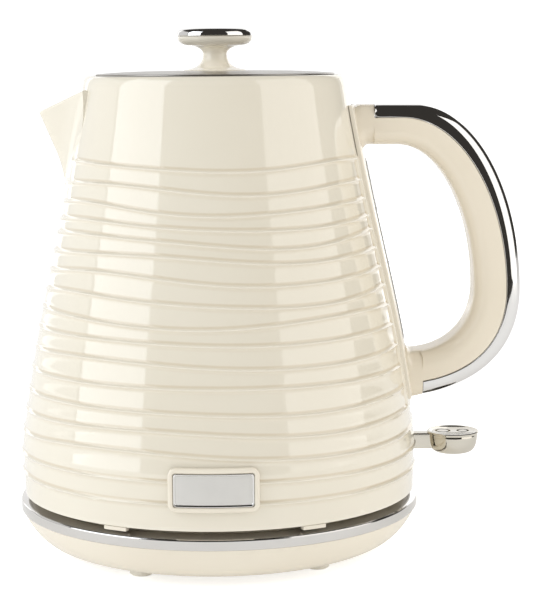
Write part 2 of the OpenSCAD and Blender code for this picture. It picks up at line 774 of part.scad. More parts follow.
module handle_outline() {
    polygon(concat([[root_top_x, handle_top_z]], back_line, [[root_low_x, handle_low_z - 0.6],
        [root_low_x, handle_low_z + root_t + 2.5]], reversed(palm_line),
        [[root_top_x, handle_top_z - root_t]]));
}

trim_top_x = jug_top_r + 11;
trim_low_x = jug_bottom_r + 3;

module trim_outline() {
    difference() {
        polygon(concat([[trim_top_x, handle_top_z]], back_line,
            reversed(seam_line), [[trim_top_x, handle_top_z - trim_t + 1]]));
        translate([trim_low_x - 20, handle_low_z - 10]) square([20, 30]);
    }
}

// An outline drawn in the XZ plane, made as wide as w across the handle.
module across_handle(w) {
    rotate([90, 0, 0]) linear_extrude(height = w, center = true) children();
}

// Room for the two screws that hold the handle.
module handle_screw_holes() {
    for (z = handle_screw_heights) translate([jug_r(z) - 12, 0, z]) rotate([0, 90, 0])
        cylinder(r = handle_screw_r, h = 23);
}

handle_screw_r = 1.6;
handle_screw_heights = [handle_top_z - root_t / 2, handle_low_z + root_t / 2 + 1.5];

module handle_grip() {
    color(cream) difference() {
        across_handle(handle_w) difference() {
            handle_outline();
            trim_outline();
        }
        across_handle(handle_w - 5) polygon(concat(reversed(between(0.25)), seam_line));
        side_core(jug_z, rim_z, gauge_proud + 0.1, 16);
        handle_screw_holes();
    }
}

module handle_core() {
    color(dark) difference() {
        across_handle(handle_w - 7) polygon(concat(reversed(between(0.35)), between(0.95)));
        side_core(jug_z, rim_z, gauge_proud + 14, 16);
    }
}

// A channel with its open side towards the grip.
module handle_trim() {
    lining = [for (i = [0:len(seam_line) - 1]) 0.4 * seam_line[i] + 0.6 * back_line[i]];
    color(silver) difference() {
        across_handle(handle_w) trim_outline();
        across_handle(handle_w - 4) polygon(concat(reversed(seam_line), lining));
    }
}

// Two screws from inside the jug into the handle's roots.
module handle_screws() {
    for (z = handle_screw_heights)
        color(silver) translate([inside_r(z) - 3.1, 0, z]) rotate([0, 90, 0]) union() {
            cylinder(r = handle_screw_r, h = 14);
            cylinder(r = 3.5, h = 2);
        }
}

// ---------- lid ----------

lid_edge_z = rim_z - 0.2;
lid_t = 1;
knob_top_z = lid_edge_z + knob_h;

// Points of the lid disc's domed line at an offset below it.
function dome_line(drop) = [for (i = [0:8]) let (r = lid_r * i / 8)
    [r, lid_edge_z + lid_dome_h * (1 - pow(r / lid_r, 4)) - drop]];

module lid_plate() {
    color(silver) difference() {
        rotate_extrude() polygon(concat(dome_line(0), reversed(dome_line(lid_t))));
        translate([0, 0, rim_z - 20]) cylinder(r = 2.1, h = 40);
    }
}

module lid_plug() {
    plug_r = rim_bore_r - 1.8;
    floor_z = rim_z - plug_depth;
    color(cream) difference() {
        rotate_extrude() polygon(concat([[0, floor_z], [plug_r, floor_z], [plug_r, floor_z + 3],
            [plug_r - 1.2, floor_z + 3], [plug_r - 1.2, floor_z + 6], [plug_r, floor_z + 6],
            [plug_r, lid_edge_z - lid_t - fit_gap]],
            reversed([for (p = dome_line(lid_t + fit_gap)) if (p[0] < plug_r) p])));
        rotate_extrude() polygon([[6, floor_z + 2], [plug_r - 3.2, floor_z + 2],
            [plug_r - 3.2, lid_edge_z - lid_t - 1.5], [6, lid_edge_z - lid_t - 1.5]]);
        translate([0, 0, floor_z - 1]) cylinder(r = 2.1, h = 40);
    }
}

module lid_seal() {
    floor_z = rim_z - plug_depth;
    color(dark) washer(rim_bore_r - 2.9, rim_bore_r - 0.4, floor_z + 3.2, floor_z + 5.8);
}

// A turned knob: a flared foot, a neck and a wide head with a shallow seat for its cap.
module knob() {
    foot_z = lid_edge_z + 0.4;
    cap_z = knob_top_z - knob_cap_h;
    color(cream) difference() {
        rotate_extrude() polygon(concat([[0, foot_z]], cubic([13.5, foot_z], [9, foot_z + 2.6],
            [knob_neck_r, foot_z + 3.6], [knob_neck_r, foot_z + 8]),
            cubic([knob_neck_r, foot_z + 8.5], [knob_neck_r + 0.2, foot_z + 10.9],
            [knob_neck_r + 2.5, foot_z + 11.6], [knob_r - 4.5, foot_z + 12.1]),
            cubic([knob_r - 4.5, foot_z + 12.1], [knob_r - 1.8, foot_z + 12.4],
            [knob_r - 0.4, cap_z - 1.9], [knob_r, cap_z]), [[0, cap_z]]));
        rotate_extrude() polygon(concat(dome_line(0), [[lid_r, foot_z - 5], [0, foot_z - 5]]));
        translate([0, 0, foot_z]) cylinder(r = 1.6, h = 10);
    }
}

module knob_cap() {
    cap_z = knob_top_z - knob_cap_h;
    color(silver) rotate_extrude() polygon(concat([[0, cap_z], [knob_r, cap_z]],
        cubic([knob_r, cap_z + 0.4], [knob_r, cap_z + 2.2], [knob_r - 3, knob_top_z - 0.3],
        [0, knob_top_z])));
}

module knob_screw() {
    floor_z = rim_z - plug_depth;
    color(silver) union() {
        translate([0, 0, floor_z - 1.6]) cylinder(r = 3.6, h = 1.6);
        translate([0, 0, floor_z - 1.6]) cylinder(r = 1.6, h = lid_edge_z + 10 - floor_z);
    }
}

// ---------- the pieces ----------

base_bowl();
base_ring();
base_deck();
base_bottom();
base_feet();
base_screws();
outlet_bush();
connector_post();
connector_pin();
terminal_blades();
connector_collar();
jug_shell();
jug_rim();
spout();
filter_frame();
filter_mesh();
heater_plate();
plate_seal();
heat_spreader();
heating_element();
control_block();
bimetal_disc();
jug_coupler();
bottom_cover();
cover_screws();
steam_tube();
lever_bracket();
lever_pin();
switch_lever();
gauge_frame();
gauge_window();
gauge_gasket();
badge_frame();
badge_plate();
handle_grip();
handle_core();
handle_trim();
handle_screws();
lid_plate();
lid_plug();
lid_seal();
knob();
knob_cap();
knob_screw();
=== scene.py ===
"""Looks of the cordless kettle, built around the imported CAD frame.

Lengths are in millimetres and angles in degrees until make_piece() turns them into metres.
Angles round the jug count from +X, the handle's side, so the badge is at -90 and the spout at 180.
"""

import math

import bmesh
import bpy
from mathutils import Matrix, Vector


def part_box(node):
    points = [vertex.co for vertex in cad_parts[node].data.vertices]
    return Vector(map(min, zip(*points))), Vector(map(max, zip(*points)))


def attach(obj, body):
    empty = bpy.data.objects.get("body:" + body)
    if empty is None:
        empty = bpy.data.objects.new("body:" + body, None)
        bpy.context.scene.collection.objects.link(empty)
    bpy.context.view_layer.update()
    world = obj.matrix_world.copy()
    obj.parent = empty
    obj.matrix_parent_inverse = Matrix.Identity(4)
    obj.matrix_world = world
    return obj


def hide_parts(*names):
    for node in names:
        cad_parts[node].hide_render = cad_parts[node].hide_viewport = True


MM = 0.001

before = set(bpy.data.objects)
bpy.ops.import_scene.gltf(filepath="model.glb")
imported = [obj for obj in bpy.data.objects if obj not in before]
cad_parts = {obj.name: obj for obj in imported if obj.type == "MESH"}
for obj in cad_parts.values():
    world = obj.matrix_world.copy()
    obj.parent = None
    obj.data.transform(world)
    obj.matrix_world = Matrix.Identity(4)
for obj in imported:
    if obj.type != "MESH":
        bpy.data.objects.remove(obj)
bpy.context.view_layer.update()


# ---------- driving sizes, from the frame ----------

def box_mm(name):
    """Lowest and highest corner of a CAD node."""
    low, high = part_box(name)
    return low / MM, high / MM


shell_low, _ = box_mm("jug_shell")
rim_low, rim_high = box_mm("jug_rim")
_, plug_high = box_mm("lid_plug")
lid_low, lid_high = box_mm("lid_plate")
_, knob_high = box_mm("knob")
cap_low, cap_high = box_mm("knob_cap")
spout_low, _ = box_mm("spout")
bowl_low, bowl_high = box_mm("base_bowl")
_, floor_high = box_mm("base_bottom")
ring_low, ring_high = box_mm("base_ring")
bush_low, bush_high = box_mm("outlet_bush")
_, trim_high = box_mm("handle_trim")
gauge_low, gauge_high = box_mm("gauge_frame")
window_low, window_high = box_mm("gauge_window")
badge_low, badge_high = box_mm("badge_frame")
_, lever_high = box_mm("switch_lever")
pin_low, pin_high = box_mm("lever_pin")

JUG_Z = shell_low.z
RIM_Z = rim_high.z
BELLY_R = -shell_low.y
SWELL = 0.7                   # how much wider the belly is than the bottom edge
TAPER_Z = JUG_Z + 21.6        # top of the straight foot
TOP_R = 55.4                  # radius of the outline at the rim
SIDE_BOW = 0.8                # how far the tapered side bows out
WALL = 0.8                    # thickness of the shell
RIB_H = 0.6                   # height of a rib over the bands beside it
RIM_BORE_R = plug_high.x + 1.8
RIM_CORNER_R = 1.6            # rounding of the jug's top edge
FLANGE_W = 3.0                # width of the skin's flat top edge, corner included
SEAT_GAP = 0.2                # clearance under the flange and outside the rim's ring
LEVER_BAR_HALF_W = 3.0
OUTSIDE_X = 100               # a distance from the axis that is outside the jug


def cosd(angle):
    return math.cos(math.radians(angle))


def sind(angle):
    return math.sin(math.radians(angle))


def smooth(edge0, edge1, x):
    """0 at edge0, 1 at edge1, with an eased step between."""
    t = min(max((x - edge0) / (edge1 - edge0), 0.0), 1.0)
    return t * t * (3 - 2 * t)


def jug_r(z):
    """Radius of the jug's outline: a straight foot, then a taper with a slight S."""
    if z < TAPER_Z:
        return BELLY_R - SWELL + SWELL * (z - JUG_Z) / (TAPER_Z - JUG_Z)
    u = (z - TAPER_Z) / (RIM_Z - TAPER_Z)
    bow = math.sin(2 * math.pi * u) + 0.6 * math.sin(math.pi * u)
    return BELLY_R + (TOP_R - BELLY_R) * u + SIDE_BOW * bow


# ---------- mesh helpers ----------

def show(thing):
    bpy.context.scene.collection.objects.link(thing)


def make_piece(name, verts, faces, body, slot, material, replaces=(), sharp=38):
    """A closed mesh as a piece that rides on a body, with edges over the sharp angle kept crisp."""
    mesh = bpy.data.meshes.new(name)
    mesh.from_pydata([(x * MM, y * MM, z * MM) for x, y, z in verts], [], faces)
    piece = bpy.data.objects.new(name, mesh)
    show(piece)
    tidy_mesh(mesh, sharp)
    mesh.materials.append(material)
    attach(piece, body)
    if replaces:
        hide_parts(*replaces)
    return piece


def tidy_mesh(mesh, sharp):
    """Welds doubles, points the faces outwards and marks the sharp edges."""
    bm = bmesh.new()
    bm.from_mesh(mesh)
    bmesh.ops.remove_doubles(bm, verts=bm.verts, dist=2e-6)
    bmesh.ops.recalc_face_normals(bm, faces=bm.faces)
    for face in bm.faces:
        face.smooth = True
    limit = math.radians(sharp)
    for edge in bm.edges:
        edge.smooth = len(edge.link_faces) == 2 and edge.calc_face_angle(0.0) < limit
    bm.to_mesh(mesh)
    bm.free()


def grid_faces(rows, cols, wrap_rows=False, wrap_cols=False, first=0):
    """Quads of a grid whose points are stored row by row."""
    faces = []
    for i in range(rows if wrap_rows else rows - 1):
        for j in range(cols if wrap_cols else cols - 1):
            a, b = i * cols + j, i * cols + (j + 1) % cols
            c, d = (i + 1) % rows * cols + (j + 1) % cols, (i + 1) % rows * cols + j
            faces.append((first + a, first + b, first + c, first + d))
    return faces


def rounded(points, radius):
    """The closed outline points with each corner turned into an arc. radius is one number or one per corner."""
    out = []
    count = len(points)
    for i, here in enumerate(points):
        r = radius[i] if isinstance(radius, (list, tuple)) else radius
        p, q, s = Vector(points[i - 1]), Vector(here), Vector(points[(i + 1) % count])
        a, b = (p - q), (s - q)
        if r <= 0 or a.length < 1e-6 or b.length < 1e-6:
            out.append(tuple(q))
            continue
        half = a.angle(b) / 2
        if half > math.radians(86):
            out.append(tuple(q))
            continue
        cut = min(r / math.tan(half), 0.48 * a.length, 0.48 * b.length)
        start, end = q + a.normalized() * cut, q + b.normalized() * cut
        for k in range(5):
            t = k / 4
            out.append(tuple(start * (1 - t) ** 2 + q * 2 * t * (1 - t) + end * t * t))
    return out


def lathe(profile, count=144):
    """Points and faces of the closed outline profile, (radius, height) pairs, turned round the axis."""
    verts, faces = [], []
    for j in range(count):
        a = 2 * math.pi * j / count
        verts += [(r * math.cos(a), r * math.sin(a), z) for r, z in profile]
    for j in range(count):
        here, there = j * len(profile), (j + 1) % count * len(profile)
        for i in range(len(profile)):
            k = (i + 1) % len(profile)
            if profile[i][0] < 1e-6 and profile[k][0] < 1e-6:
                continue
            face = [here + i, there + i, there + k, here + k]
            if profile[i][0] < 1e-6:
                face = [here + i, there + k, here + k]
            elif profile[k][0] < 1e-6:
                face = [here + i, there + i, here + k]
            faces.append(face)
    return verts, faces


def moved(shape, offset, turn=0.0):
    """The shape, (points, faces), turned about its own +Z and then moved."""
    c, s = cosd(turn), sind(turn)
    verts = [(x * c - y * s + offset[0], x * s + y * c + offset[1], z + offset[2]) for x, y, z in shape[0]]
    return verts, shape[1]


def joined(*shapes):
    """Several shapes as one."""
    verts, faces = [], []
    for points, quads in shapes:
        faces += [[k + len(verts) for k in face] for face in quads]
        verts += points
    return verts, faces


def sweep(sections, closed=False):
    """A closed skin through sections, rings with the same number of points each, capped at both ends."""
    count = len(sections[0])
    verts = [p for ring in sections for p in ring]
    faces = grid_faces(len(sections), count, wrap_rows=closed, wrap_cols=True)
    if not closed:
        faces.append(list(range(count)))
        faces.append([(len(sections) - 1) * count + k for k in range(count)])
    return verts, faces


def cubic(p0, p1, p2, p3, steps):
    """Points along a cubic curve with these four control points."""
    out = []
    for i in range(steps + 1):
        t = i / steps
        u = 1 - t
        out.append(tuple(u ** 3 * a + 3 * u * u * t * b + 3 * u * t * t * c + t ** 3 * d
                         for a, b, c, d in zip(p0, p1, p2, p3)))
    return out


def cutter_object(verts, faces):
    """A closed shape to cut with. cut_with() removes it again."""
    mesh = bpy.data.meshes.new("cutter")
    mesh.from_pydata([(x * MM, y * MM, z * MM) for x, y, z in verts], [], faces)
    cutter = bpy.data.objects.new("cutter", mesh)
    show(cutter)
    tidy_mesh(mesh, 30)
    return cutter


def box_cutter(low, high):
    """A box to cut with, from its lowest to its highest corner."""
    verts = [(x, y, z) for z in (low[2], high[2]) for y in (low[1], high[1]) for x in (low[0], high[0])]
    faces = [(0, 2, 3, 1), (4, 5, 7, 6), (0, 1, 5, 4), (2, 6, 7, 3), (0, 4, 6, 2), (1, 3, 7, 5)]
    return cutter_object(verts, faces)


def cut_with(piece, cutters, sharp=38):
    """Cuts the cutters out of the piece."""
    for cutter in cutters:
        modifier = piece.modifiers.new("cut", "BOOLEAN")
        modifier.solver = "MANIFOLD"
        modifier.operation = "DIFFERENCE"
        modifier.object = cutter
    bpy.context.view_layer.update()
    graph = bpy.context.evaluated_depsgraph_get()
    mesh = bpy.data.meshes.new_from_object(piece.evaluated_get(graph))
    piece.modifiers.clear()
    piece.data = mesh
    tidy_mesh(mesh, sharp)
    for cutter in cutters:
        bpy.data.objects.remove(cutter)


# ---------- materials ----------

def node(tree, kind, **settings):
    """A shader node with attributes and inputs set by name: plain names are attributes, in_ names inputs."""
    made = tree.nodes.new("ShaderNode" + kind)
    for key, value in settings.items():
        if key.startswith("in_"):
            made.inputs[key[3:].replace("_", " ")].default_value = value
        else:
            setattr(made, key, value)
    return made


BRUSH_LINES = 2600.0     # spun lines, per metre of radius


def finish(name, light, dark, rough, patch=30.0, grain=900.0, grain_mm=0.0, brush=None, brush_mm=0.004,
                    wear=None, crease_shade=None, constants=None):
    """A procedural surface.

    light, dark: the two ends of its slow colour variation. rough: lowest and highest roughness, in smudges.
    grain: how fine its bump is, per metre, and grain_mm how deep. brush: "x" or "spun" for brushed lines.
    wear: the colour laid on its convex edges by pointiness: real wear on the metals and dark parts, a painted
    highlight on the enamel's rib crests. crease_shade: painted shade, a darker colour laid into its creases by
    pointiness.
    constants: values for the shader's own sockets.
    """
    made = bpy.data.materials.new(name)
    made.use_nodes = True
    tree = made.node_tree
    link = tree.links.new
    shader = tree.nodes["Principled BSDF"]
    for socket, value in (constants or {}).items():
        shader.inputs[socket].default_value = value
    made.diffuse_color = (*light, 1)
    place = node(tree, "TexCoord")

    def placed(kind, **settings):
        """A node that works on the object's own coordinates."""
        result = node(tree, kind, **settings)
        link(place.outputs["Object"], result.inputs["Vector"])
        return result

    slow = placed("TexNoise", in_Scale=patch, in_Detail=3.0, in_Roughness=0.5)
    tone = node(tree, "ValToRGB")
    for stop, position, value in zip(tone.color_ramp.elements, (0.35, 0.65), (dark, light)):
        stop.position, stop.color = position, (*value, 1)
    link(slow.outputs["Fac"], tone.inputs["Fac"])
    colour = tone.outputs["Color"]
    # Pointiness mixes in crease_shade, painted shade, in hollows, and wear on convex edges, which on the enamel
    # is a painted highlight.
    for edge_colour, low, high in ((crease_shade, 0.497, 0.474), (wear, 0.512, 0.55)):
        if edge_colour:
            edge = node(tree, "NewGeometry")
            edge_range = node(tree, "MapRange", in_From_Min=low, in_From_Max=high, in_To_Max=0.7)
            link(edge.outputs["Pointiness"], edge_range.inputs["Value"])
            mixed = node(tree, "MixRGB", in_Color2=(*edge_colour, 1))
            link(edge_range.outputs["Result"], mixed.inputs["Fac"])
            link(colour, mixed.inputs["Color1"])
            colour = mixed.outputs["Color"]
    link(colour, shader.inputs["Base Color"])

    smudge = placed("TexNoise", in_Scale=patch * 2.7, in_Detail=5.0, in_Roughness=0.6)
    smudge_range = node(tree, "MapRange", in_From_Min=0.3, in_From_Max=0.7,
                        in_To_Min=rough[0], in_To_Max=rough[1])
    link(smudge.outputs["Fac"], smudge_range.inputs["Value"])
    link(smudge_range.outputs["Result"], shader.inputs["Roughness"])

    normal = None
    if grain_mm:
        fine = placed("TexNoise", in_Scale=grain, in_Detail=2.0)
        bump = node(tree, "Bump", in_Strength=1.0, in_Distance=grain_mm * MM)
        link(fine.outputs["Fac"], bump.inputs["Height"])
        normal = bump.outputs["Normal"]
    if brush:
        lines = node(tree, "TexNoise", in_Scale=1.0, in_Detail=4.0, in_Roughness=0.7)
        if brush == "spun":
            apart = placed("SeparateXYZ")
            flat = node(tree, "CombineXYZ")
            for axis in "XY":
                link(apart.outputs[axis], flat.inputs[axis])
            radius = node(tree, "VectorMath", operation="LENGTH")
            link(flat.outputs["Vector"], radius.inputs[0])
            scaled = node(tree, "Math", operation="MULTIPLY")
            scaled.inputs[1].default_value = BRUSH_LINES
            link(radius.outputs["Value"], scaled.inputs[0])
            ring = node(tree, "CombineXYZ")
            link(scaled.outputs["Value"], ring.inputs["X"])
            link(ring.outputs["Vector"], lines.inputs["Vector"])
        else:
            stretch = placed("Mapping", in_Scale=(60, 60, 4200))
            link(stretch.outputs["Vector"], lines.inputs["Vector"])
        brush_bump = node(tree, "Bump", in_Strength=1.0, in_Distance=brush_mm * MM)
        link(lines.outputs["Fac"], brush_bump.inputs["Height"])
        if normal:
            link(normal, brush_bump.inputs["Normal"])
        normal = brush_bump.outputs["Normal"]
    if normal:
        link(normal, shader.inputs["Normal"])
    return made


def metal(*look, **details):
    return finish(*look, constants={"Metallic": 1.0}, **details)


# The enamel's crease_shade colour is painted shade in the creases above the ribs, and its wear colour is a
# painted highlight on the rib crests.
ENAMEL = finish("enamel_cream", (0.80, 0.748, 0.632), (0.785, 0.73, 0.61), (0.05, 0.11), patch=14, grain=420,
                grain_mm=0.006, wear=(0.88, 0.83, 0.71), crease_shade=(0.60, 0.48, 0.31),
                constants={"IOR": 1.52, "Coat Weight": 0.5, "Coat Roughness": 0.03, "Coat IOR": 1.5})
PLASTIC = finish("plastic_cream", (0.83, 0.77, 0.65), (0.81, 0.745, 0.625), (0.16, 0.26), patch=22, grain=1500,
                 grain_mm=0.004, constants={"IOR": 1.49})
# A lighter copy of the cream plastic for the knob: painted light that brightens its shaded neck.
LIT_KNOB_CREAM = finish("knob_cream_lit", (0.93, 0.872, 0.745), (0.91, 0.85, 0.722), (0.08, 0.16), patch=60, grain=1500,
                    grain_mm=0.003, constants={"IOR": 1.5, "Coat Weight": 0.3})
GRIP = finish("grip_cream", (0.87, 0.79, 0.65), (0.85, 0.768, 0.625), (0.14, 0.22), patch=20, grain=1300,
              grain_mm=0.004, constants={"IOR": 1.5})
CHROME = metal("chrome", (0.77, 0.76, 0.745), (0.745, 0.735, 0.72), (0.025, 0.07), patch=40, grain=260,
               grain_mm=0.003)
RING_CHROME = metal("chrome_ring", (0.67, 0.655, 0.635), (0.645, 0.63, 0.61), (0.06, 0.12), patch=30, grain=260,
                    grain_mm=0.004)
# A darker, browner copy of the chrome for the lever: painted shade and a painted warm reflection.
SHADED_CHROME = metal("chrome_warm", (0.66, 0.625, 0.55), (0.63, 0.595, 0.52), (0.05, 0.12), patch=40, grain=300,
                    grain_mm=0.003)
LID_STEEL = metal("steel_spun", (0.56, 0.535, 0.50), (0.535, 0.51, 0.477), (0.28, 0.33), patch=35, brush="spun",
                  brush_mm=0.006)
PLATE_STEEL = metal("steel_brushed_x", (0.88, 0.865, 0.83), (0.84, 0.825, 0.79), (0.38, 0.46), patch=60,
                    brush="x", brush_mm=0.006)
STEEL = metal("steel_satin", (0.62, 0.61, 0.59), (0.56, 0.55, 0.535), (0.22, 0.38), patch=60, grain=1200,
              grain_mm=0.004, wear=(0.8, 0.79, 0.77))
ALUMINIUM = metal("aluminium_cast", (0.66, 0.67, 0.68), (0.58, 0.59, 0.60), (0.38, 0.52), patch=80, grain=1600,
                  grain_mm=0.02, wear=(0.8, 0.8, 0.8))
BRASS = metal("brass_contact", (0.72, 0.55, 0.24), (0.60, 0.44, 0.18), (0.2, 0.34), patch=120, grain=1500,
              grain_mm=0.004, wear=(0.86, 0.7, 0.4))
DARK = finish("plastic_dark", (0.035, 0.034, 0.033), (0.026, 0.025, 0.024), (0.4, 0.55), patch=60, grain=2200,
              grain_mm=0.02, wear=(0.075, 0.073, 0.07), constants={"IOR": 1.5})
RUBBER = finish("rubber_dark", (0.045, 0.043, 0.04), (0.03, 0.029, 0.027), (0.55, 0.75), patch=70, grain=1800,
                grain_mm=0.03, wear=(0.09, 0.087, 0.08), constants={"IOR": 1.45})
FOOT_RUBBER = finish("rubber_cream", (0.93, 0.89, 0.79), (0.89, 0.845, 0.745), (0.45, 0.6), patch=120,
                     grain=1800, grain_mm=0.02, constants={"IOR": 1.45})
WINDOW = finish("window_clear", (0.86, 0.875, 0.87), (0.82, 0.835, 0.83), (0.05, 0.12), patch=60, grain=700,
                grain_mm=0.003, constants={"IOR": 1.49, "Transmission Weight": 0.72})


# ---------- the jug's skin, with its wavy ribs ----------

# Each rib, from the top: its mean height, how deep it waves and the angle from the badge to its trough.
RIBS = [(165, 2.1, 2), (156.5, 2.5, 14), (148.5, 2.6, 8), (142, 2.0, 18), (136, 2.8, 22), (129.5, 2.0, 32),
        (121.5, 2.7, 26), (113, 2.5, 22), (105, 1.8, -6), (97.5, 0.9, 22), (89, 1.8, 32), (80.5, 0.5, 48),
        (71, 1.2, 30), (63, 1.8, 42), (54.5, 2.3, 42), (45, 0.7, 45), (36.5, 0.3, 45)]
RIB_UPPER = 0.42       # how far above its crest a rib has mostly fallen off
RIB_LOWER = 0.6        # and below it
RIB_ROUND = 0.1        # rounding of the crest
RIB_LEAN = 0.2         # how much the lowest rib rises from the back to the front
RIB_LEAN_GAIN = 0.0092 # and how that grows with a rib's height
CREASE_DEPTH = 0.13    # depth of the crease above a rib
BAND_DIP = 0.1         # how far the bands between the ribs are dished
BORDER_W = 2.6         # width of the ramp where the bands end beside the gauge
BORDER_GAP = 3.4       # clear strip between the gauge's frame and the end of the bands

SPOUT_TIP_X = -spout_low.x
SPOUT_TIP_Z = RIM_Z - 14.8
SPOUT_LOW_Z = RIM_Z - 43.0
SPOUT_TOP_Z = RIM_Z - 6.8
SPOUT_HALF_W = 15.0
SPOUT_WALL = 1.0
SPOUT_ROOT_X = math.sqrt(jug_r(SPOUT_TOP_Z) ** 2 - SPOUT_HALF_W ** 2)
SPOUT_FLARE = (SPOUT_TIP_X - SPOUT_ROOT_X) / SPOUT_HALF_W
SPOUT_EDGE = 0.035     # rounding of the front edge, as a sine
SPOUT_BLEND = 7.5      # reach of the fillet between the spout and the jug


def rib_heights(angle):
    """Heights of the rib crests at an angle round the jug, from the top."""
    out = []
    for k, (height, depth, trough) in enumerate(RIBS):
        lean = RIB_LEAN + RIB_LEAN_GAIN * (height - RIBS[-1][0])
        lean *= sind(-angle)
        a = math.radians(angle + 90 - trough)
        wave = 0.55 * math.cos(2 * a) + 0.45 * math.cos(3 * a)
        ripple = 0.12 * math.sin(5 * a + 1.7 * k)
        out.append(height + lean - depth * (wave + ripple))
    return out


def spout_edge_x(z):
    """How far the spout's front edge stands out at height z."""
    low_x = jug_r(SPOUT_LOW_Z) - RIB_H
    return low_x + (SPOUT_TIP_X - low_x) * (z - SPOUT_LOW_Z) / (SPOUT_TIP_Z - SPOUT_LOW_Z)


def wedge_r(turn, z, inset=0.0):
    """Radius of the spout's V at an angle from the spout's middle, drawn in by a wall's thickness."""
    s = math.sqrt(sind(turn) ** 2 + SPOUT_EDGE ** 2) - SPOUT_EDGE
    edge = spout_edge_x(z) - inset * math.sqrt(1 + SPOUT_FLARE ** 2)
    return edge / (cosd(turn) + SPOUT_FLARE * s)


def skin_r(angle, z, crests):
    """Radius of the jug's outside with its ribs."""
    base = jug_r(z)
    ridge, dip = 0.0, 0.0
    for k, crest in enumerate(crests):
        d = z - crest
        if abs(d) < 5:
            fall = RIB_UPPER if d > 0 else RIB_LOWER
            ridge = max(ridge, math.exp(-(math.sqrt(d * d + RIB_ROUND ** 2) - RIB_ROUND) / fall))
            dip += CREASE_DEPTH * math.exp(-((d - 1.2) / 0.5) ** 2)
        if k and crests[k - 1] > z > crest:
            t = (z - crest) / (crests[k - 1] - crest)
            dip += BAND_DIP * 4 * t * (1 - t)
    turn = abs((angle + 180) % 360 - 180)
    side = abs(base * sind(angle))
    if turn < 40:
        edge = gauge_high.y + BORDER_GAP
        border = 1 - smooth(edge, edge + BORDER_W, side)
        border *= smooth(gauge_low.z - 5, gauge_low.z - 1, z) * smooth(RIBS[0][0] + 5, RIBS[0][0] + 0.5, z)
        ridge = 1 - (1 - ridge) * (1 - border)
        dip *= 1 - border
    if turn > 130 and z > SPOUT_LOW_Z - 1:
        root = max(0.0, spout_edge_x(z) - base) / SPOUT_FLARE * 1.25
        fade = 1 - smooth(root + 5, root + 13, side)
        keep = 1 - fade * smooth(SPOUT_LOW_Z - 0.5, SPOUT_LOW_Z + 2.5, z)
        ridge *= keep
        dip *= keep
    return base - RIB_H + RIB_H * ridge - dip


def column_angles():
    """Angles round the jug, closer together beside the gauge, where the bands end."""
    out = []
    a = -180.0
    while a < 180.0 - 1e-6:
        out.append(a)
        a += 0.5 if 8 <= abs(a + 0.25) <= 24 else 1.25
    return out


def skin_heights(crests):
    """Heights of one column's points below the rim's corner, following the ribs."""
    near = [0.16, 0.36, 0.62, 0.95, 1.4, 2.0]
    top = RIM_Z - RIM_CORNER_R
    start = crests[0] + near[-1]
    out = [top + (start - top) * i / 12 for i in range(12)]
    for k, crest in enumerate(crests):
        out += [crest + d for d in reversed(near)] + [crest] + [crest - d for d in near]
        low = crests[k + 1] + near[-1] if k + 1 < len(crests) else JUG_Z + 1
        high = crest - near[-1]
        out += [high + (low - high) * i / 4 for i in (1, 2, 3)]
    return out + [JUG_Z + 1, JUG_Z]


def make_skin():
    """The jug's shell: the ribbed side, the rounded top edge with its flange, and the plain inside."""
    top_r = jug_r(RIM_Z) - RIB_H
    corner = [(top_r - RIM_CORNER_R + RIM_CORNER_R * sind(t),
               RIM_Z - RIM_CORNER_R + RIM_CORNER_R * cosd(t)) for t in (0, 20, 40, 60, 75)]
    under_z = RIM_Z - WALL - SEAT_GAP
    lip = [(top_r - FLANGE_W, under_z), (top_r - FLANGE_W, RIM_Z - SEAT_GAP),
           (top_r - FLANGE_W + SEAT_GAP, RIM_Z)] + corner
    inner_heights = [JUG_Z + (under_z - JUG_Z) * i / 40 for i in range(41)]
    columns = []
    for a in column_angles():
        crests = rib_heights(a)
        profile = lip + [(skin_r(a, z, crests), z) for z in skin_heights(crests)]
        profile.append((profile[-1][0] - 0.15, JUG_Z))
        c, s = cosd(a), sind(a)
        inside = [(jug_r(z) - RIB_H - WALL, z) for z in inner_heights]
        columns.append([(r * c, r * s, z) for r, z in profile + inside])
    verts, faces = sweep(columns, closed=True)
    skin = make_piece("jug_skin", verts, faces, "jug", "cream_enamel", ENAMEL, ["jug_shell"], sharp=50)
    # Three openings: the spout's mouth, the gauge's window and the lever's slot.
    mouth_low, mouth_high = SPOUT_LOW_Z + 9, rim_low.z - 1
    half = SPOUT_HALF_W / 2
    mouth = [(x, y, z) for x in (-BELLY_R, -30) for y, z in
             [(-2, mouth_low), (2, mouth_low), (half, mouth_high), (-half, mouth_high)]]
    mouth_faces = [(0, 1, 2, 3), (7, 6, 5, 4), (0, 4, 5, 1), (1, 5, 6, 2), (2, 6, 7, 3), (3, 7, 4, 0)]
    slot_gap = 0.8
    slot_w = LEVER_BAR_HALF_W + slot_gap
    cut_with(skin, [
        cutter_object(mouth, mouth_faces),
        box_cutter((30, window_low.y - 1, window_low.z - 1), (OUTSIDE_X, window_high.y + 1, window_high.z + 1)),
        box_cutter((pin_high.x, -slot_w, JUG_Z + 11), (OUTSIDE_X, slot_w, lever_high.z + slot_gap))], sharp=50)
    return skin


def blend_max(a, b, reach):
    """The larger of a and b, with a fillet where they are close."""
    h = min(max(0.5 + 0.5 * (a - b) / reach, 0.0), 1.0)
    return b + (a - b) * h + reach * h * (1 - h)


def lip_height(x):
    """Height of the spout's lip at a distance from the axis."""
    rise = (SPOUT_TOP_Z - SPOUT_TIP_Z) / (SPOUT_TIP_X - jug_r(SPOUT_TOP_Z))
    return SPOUT_TIP_Z + rise * (SPOUT_TIP_X - x)


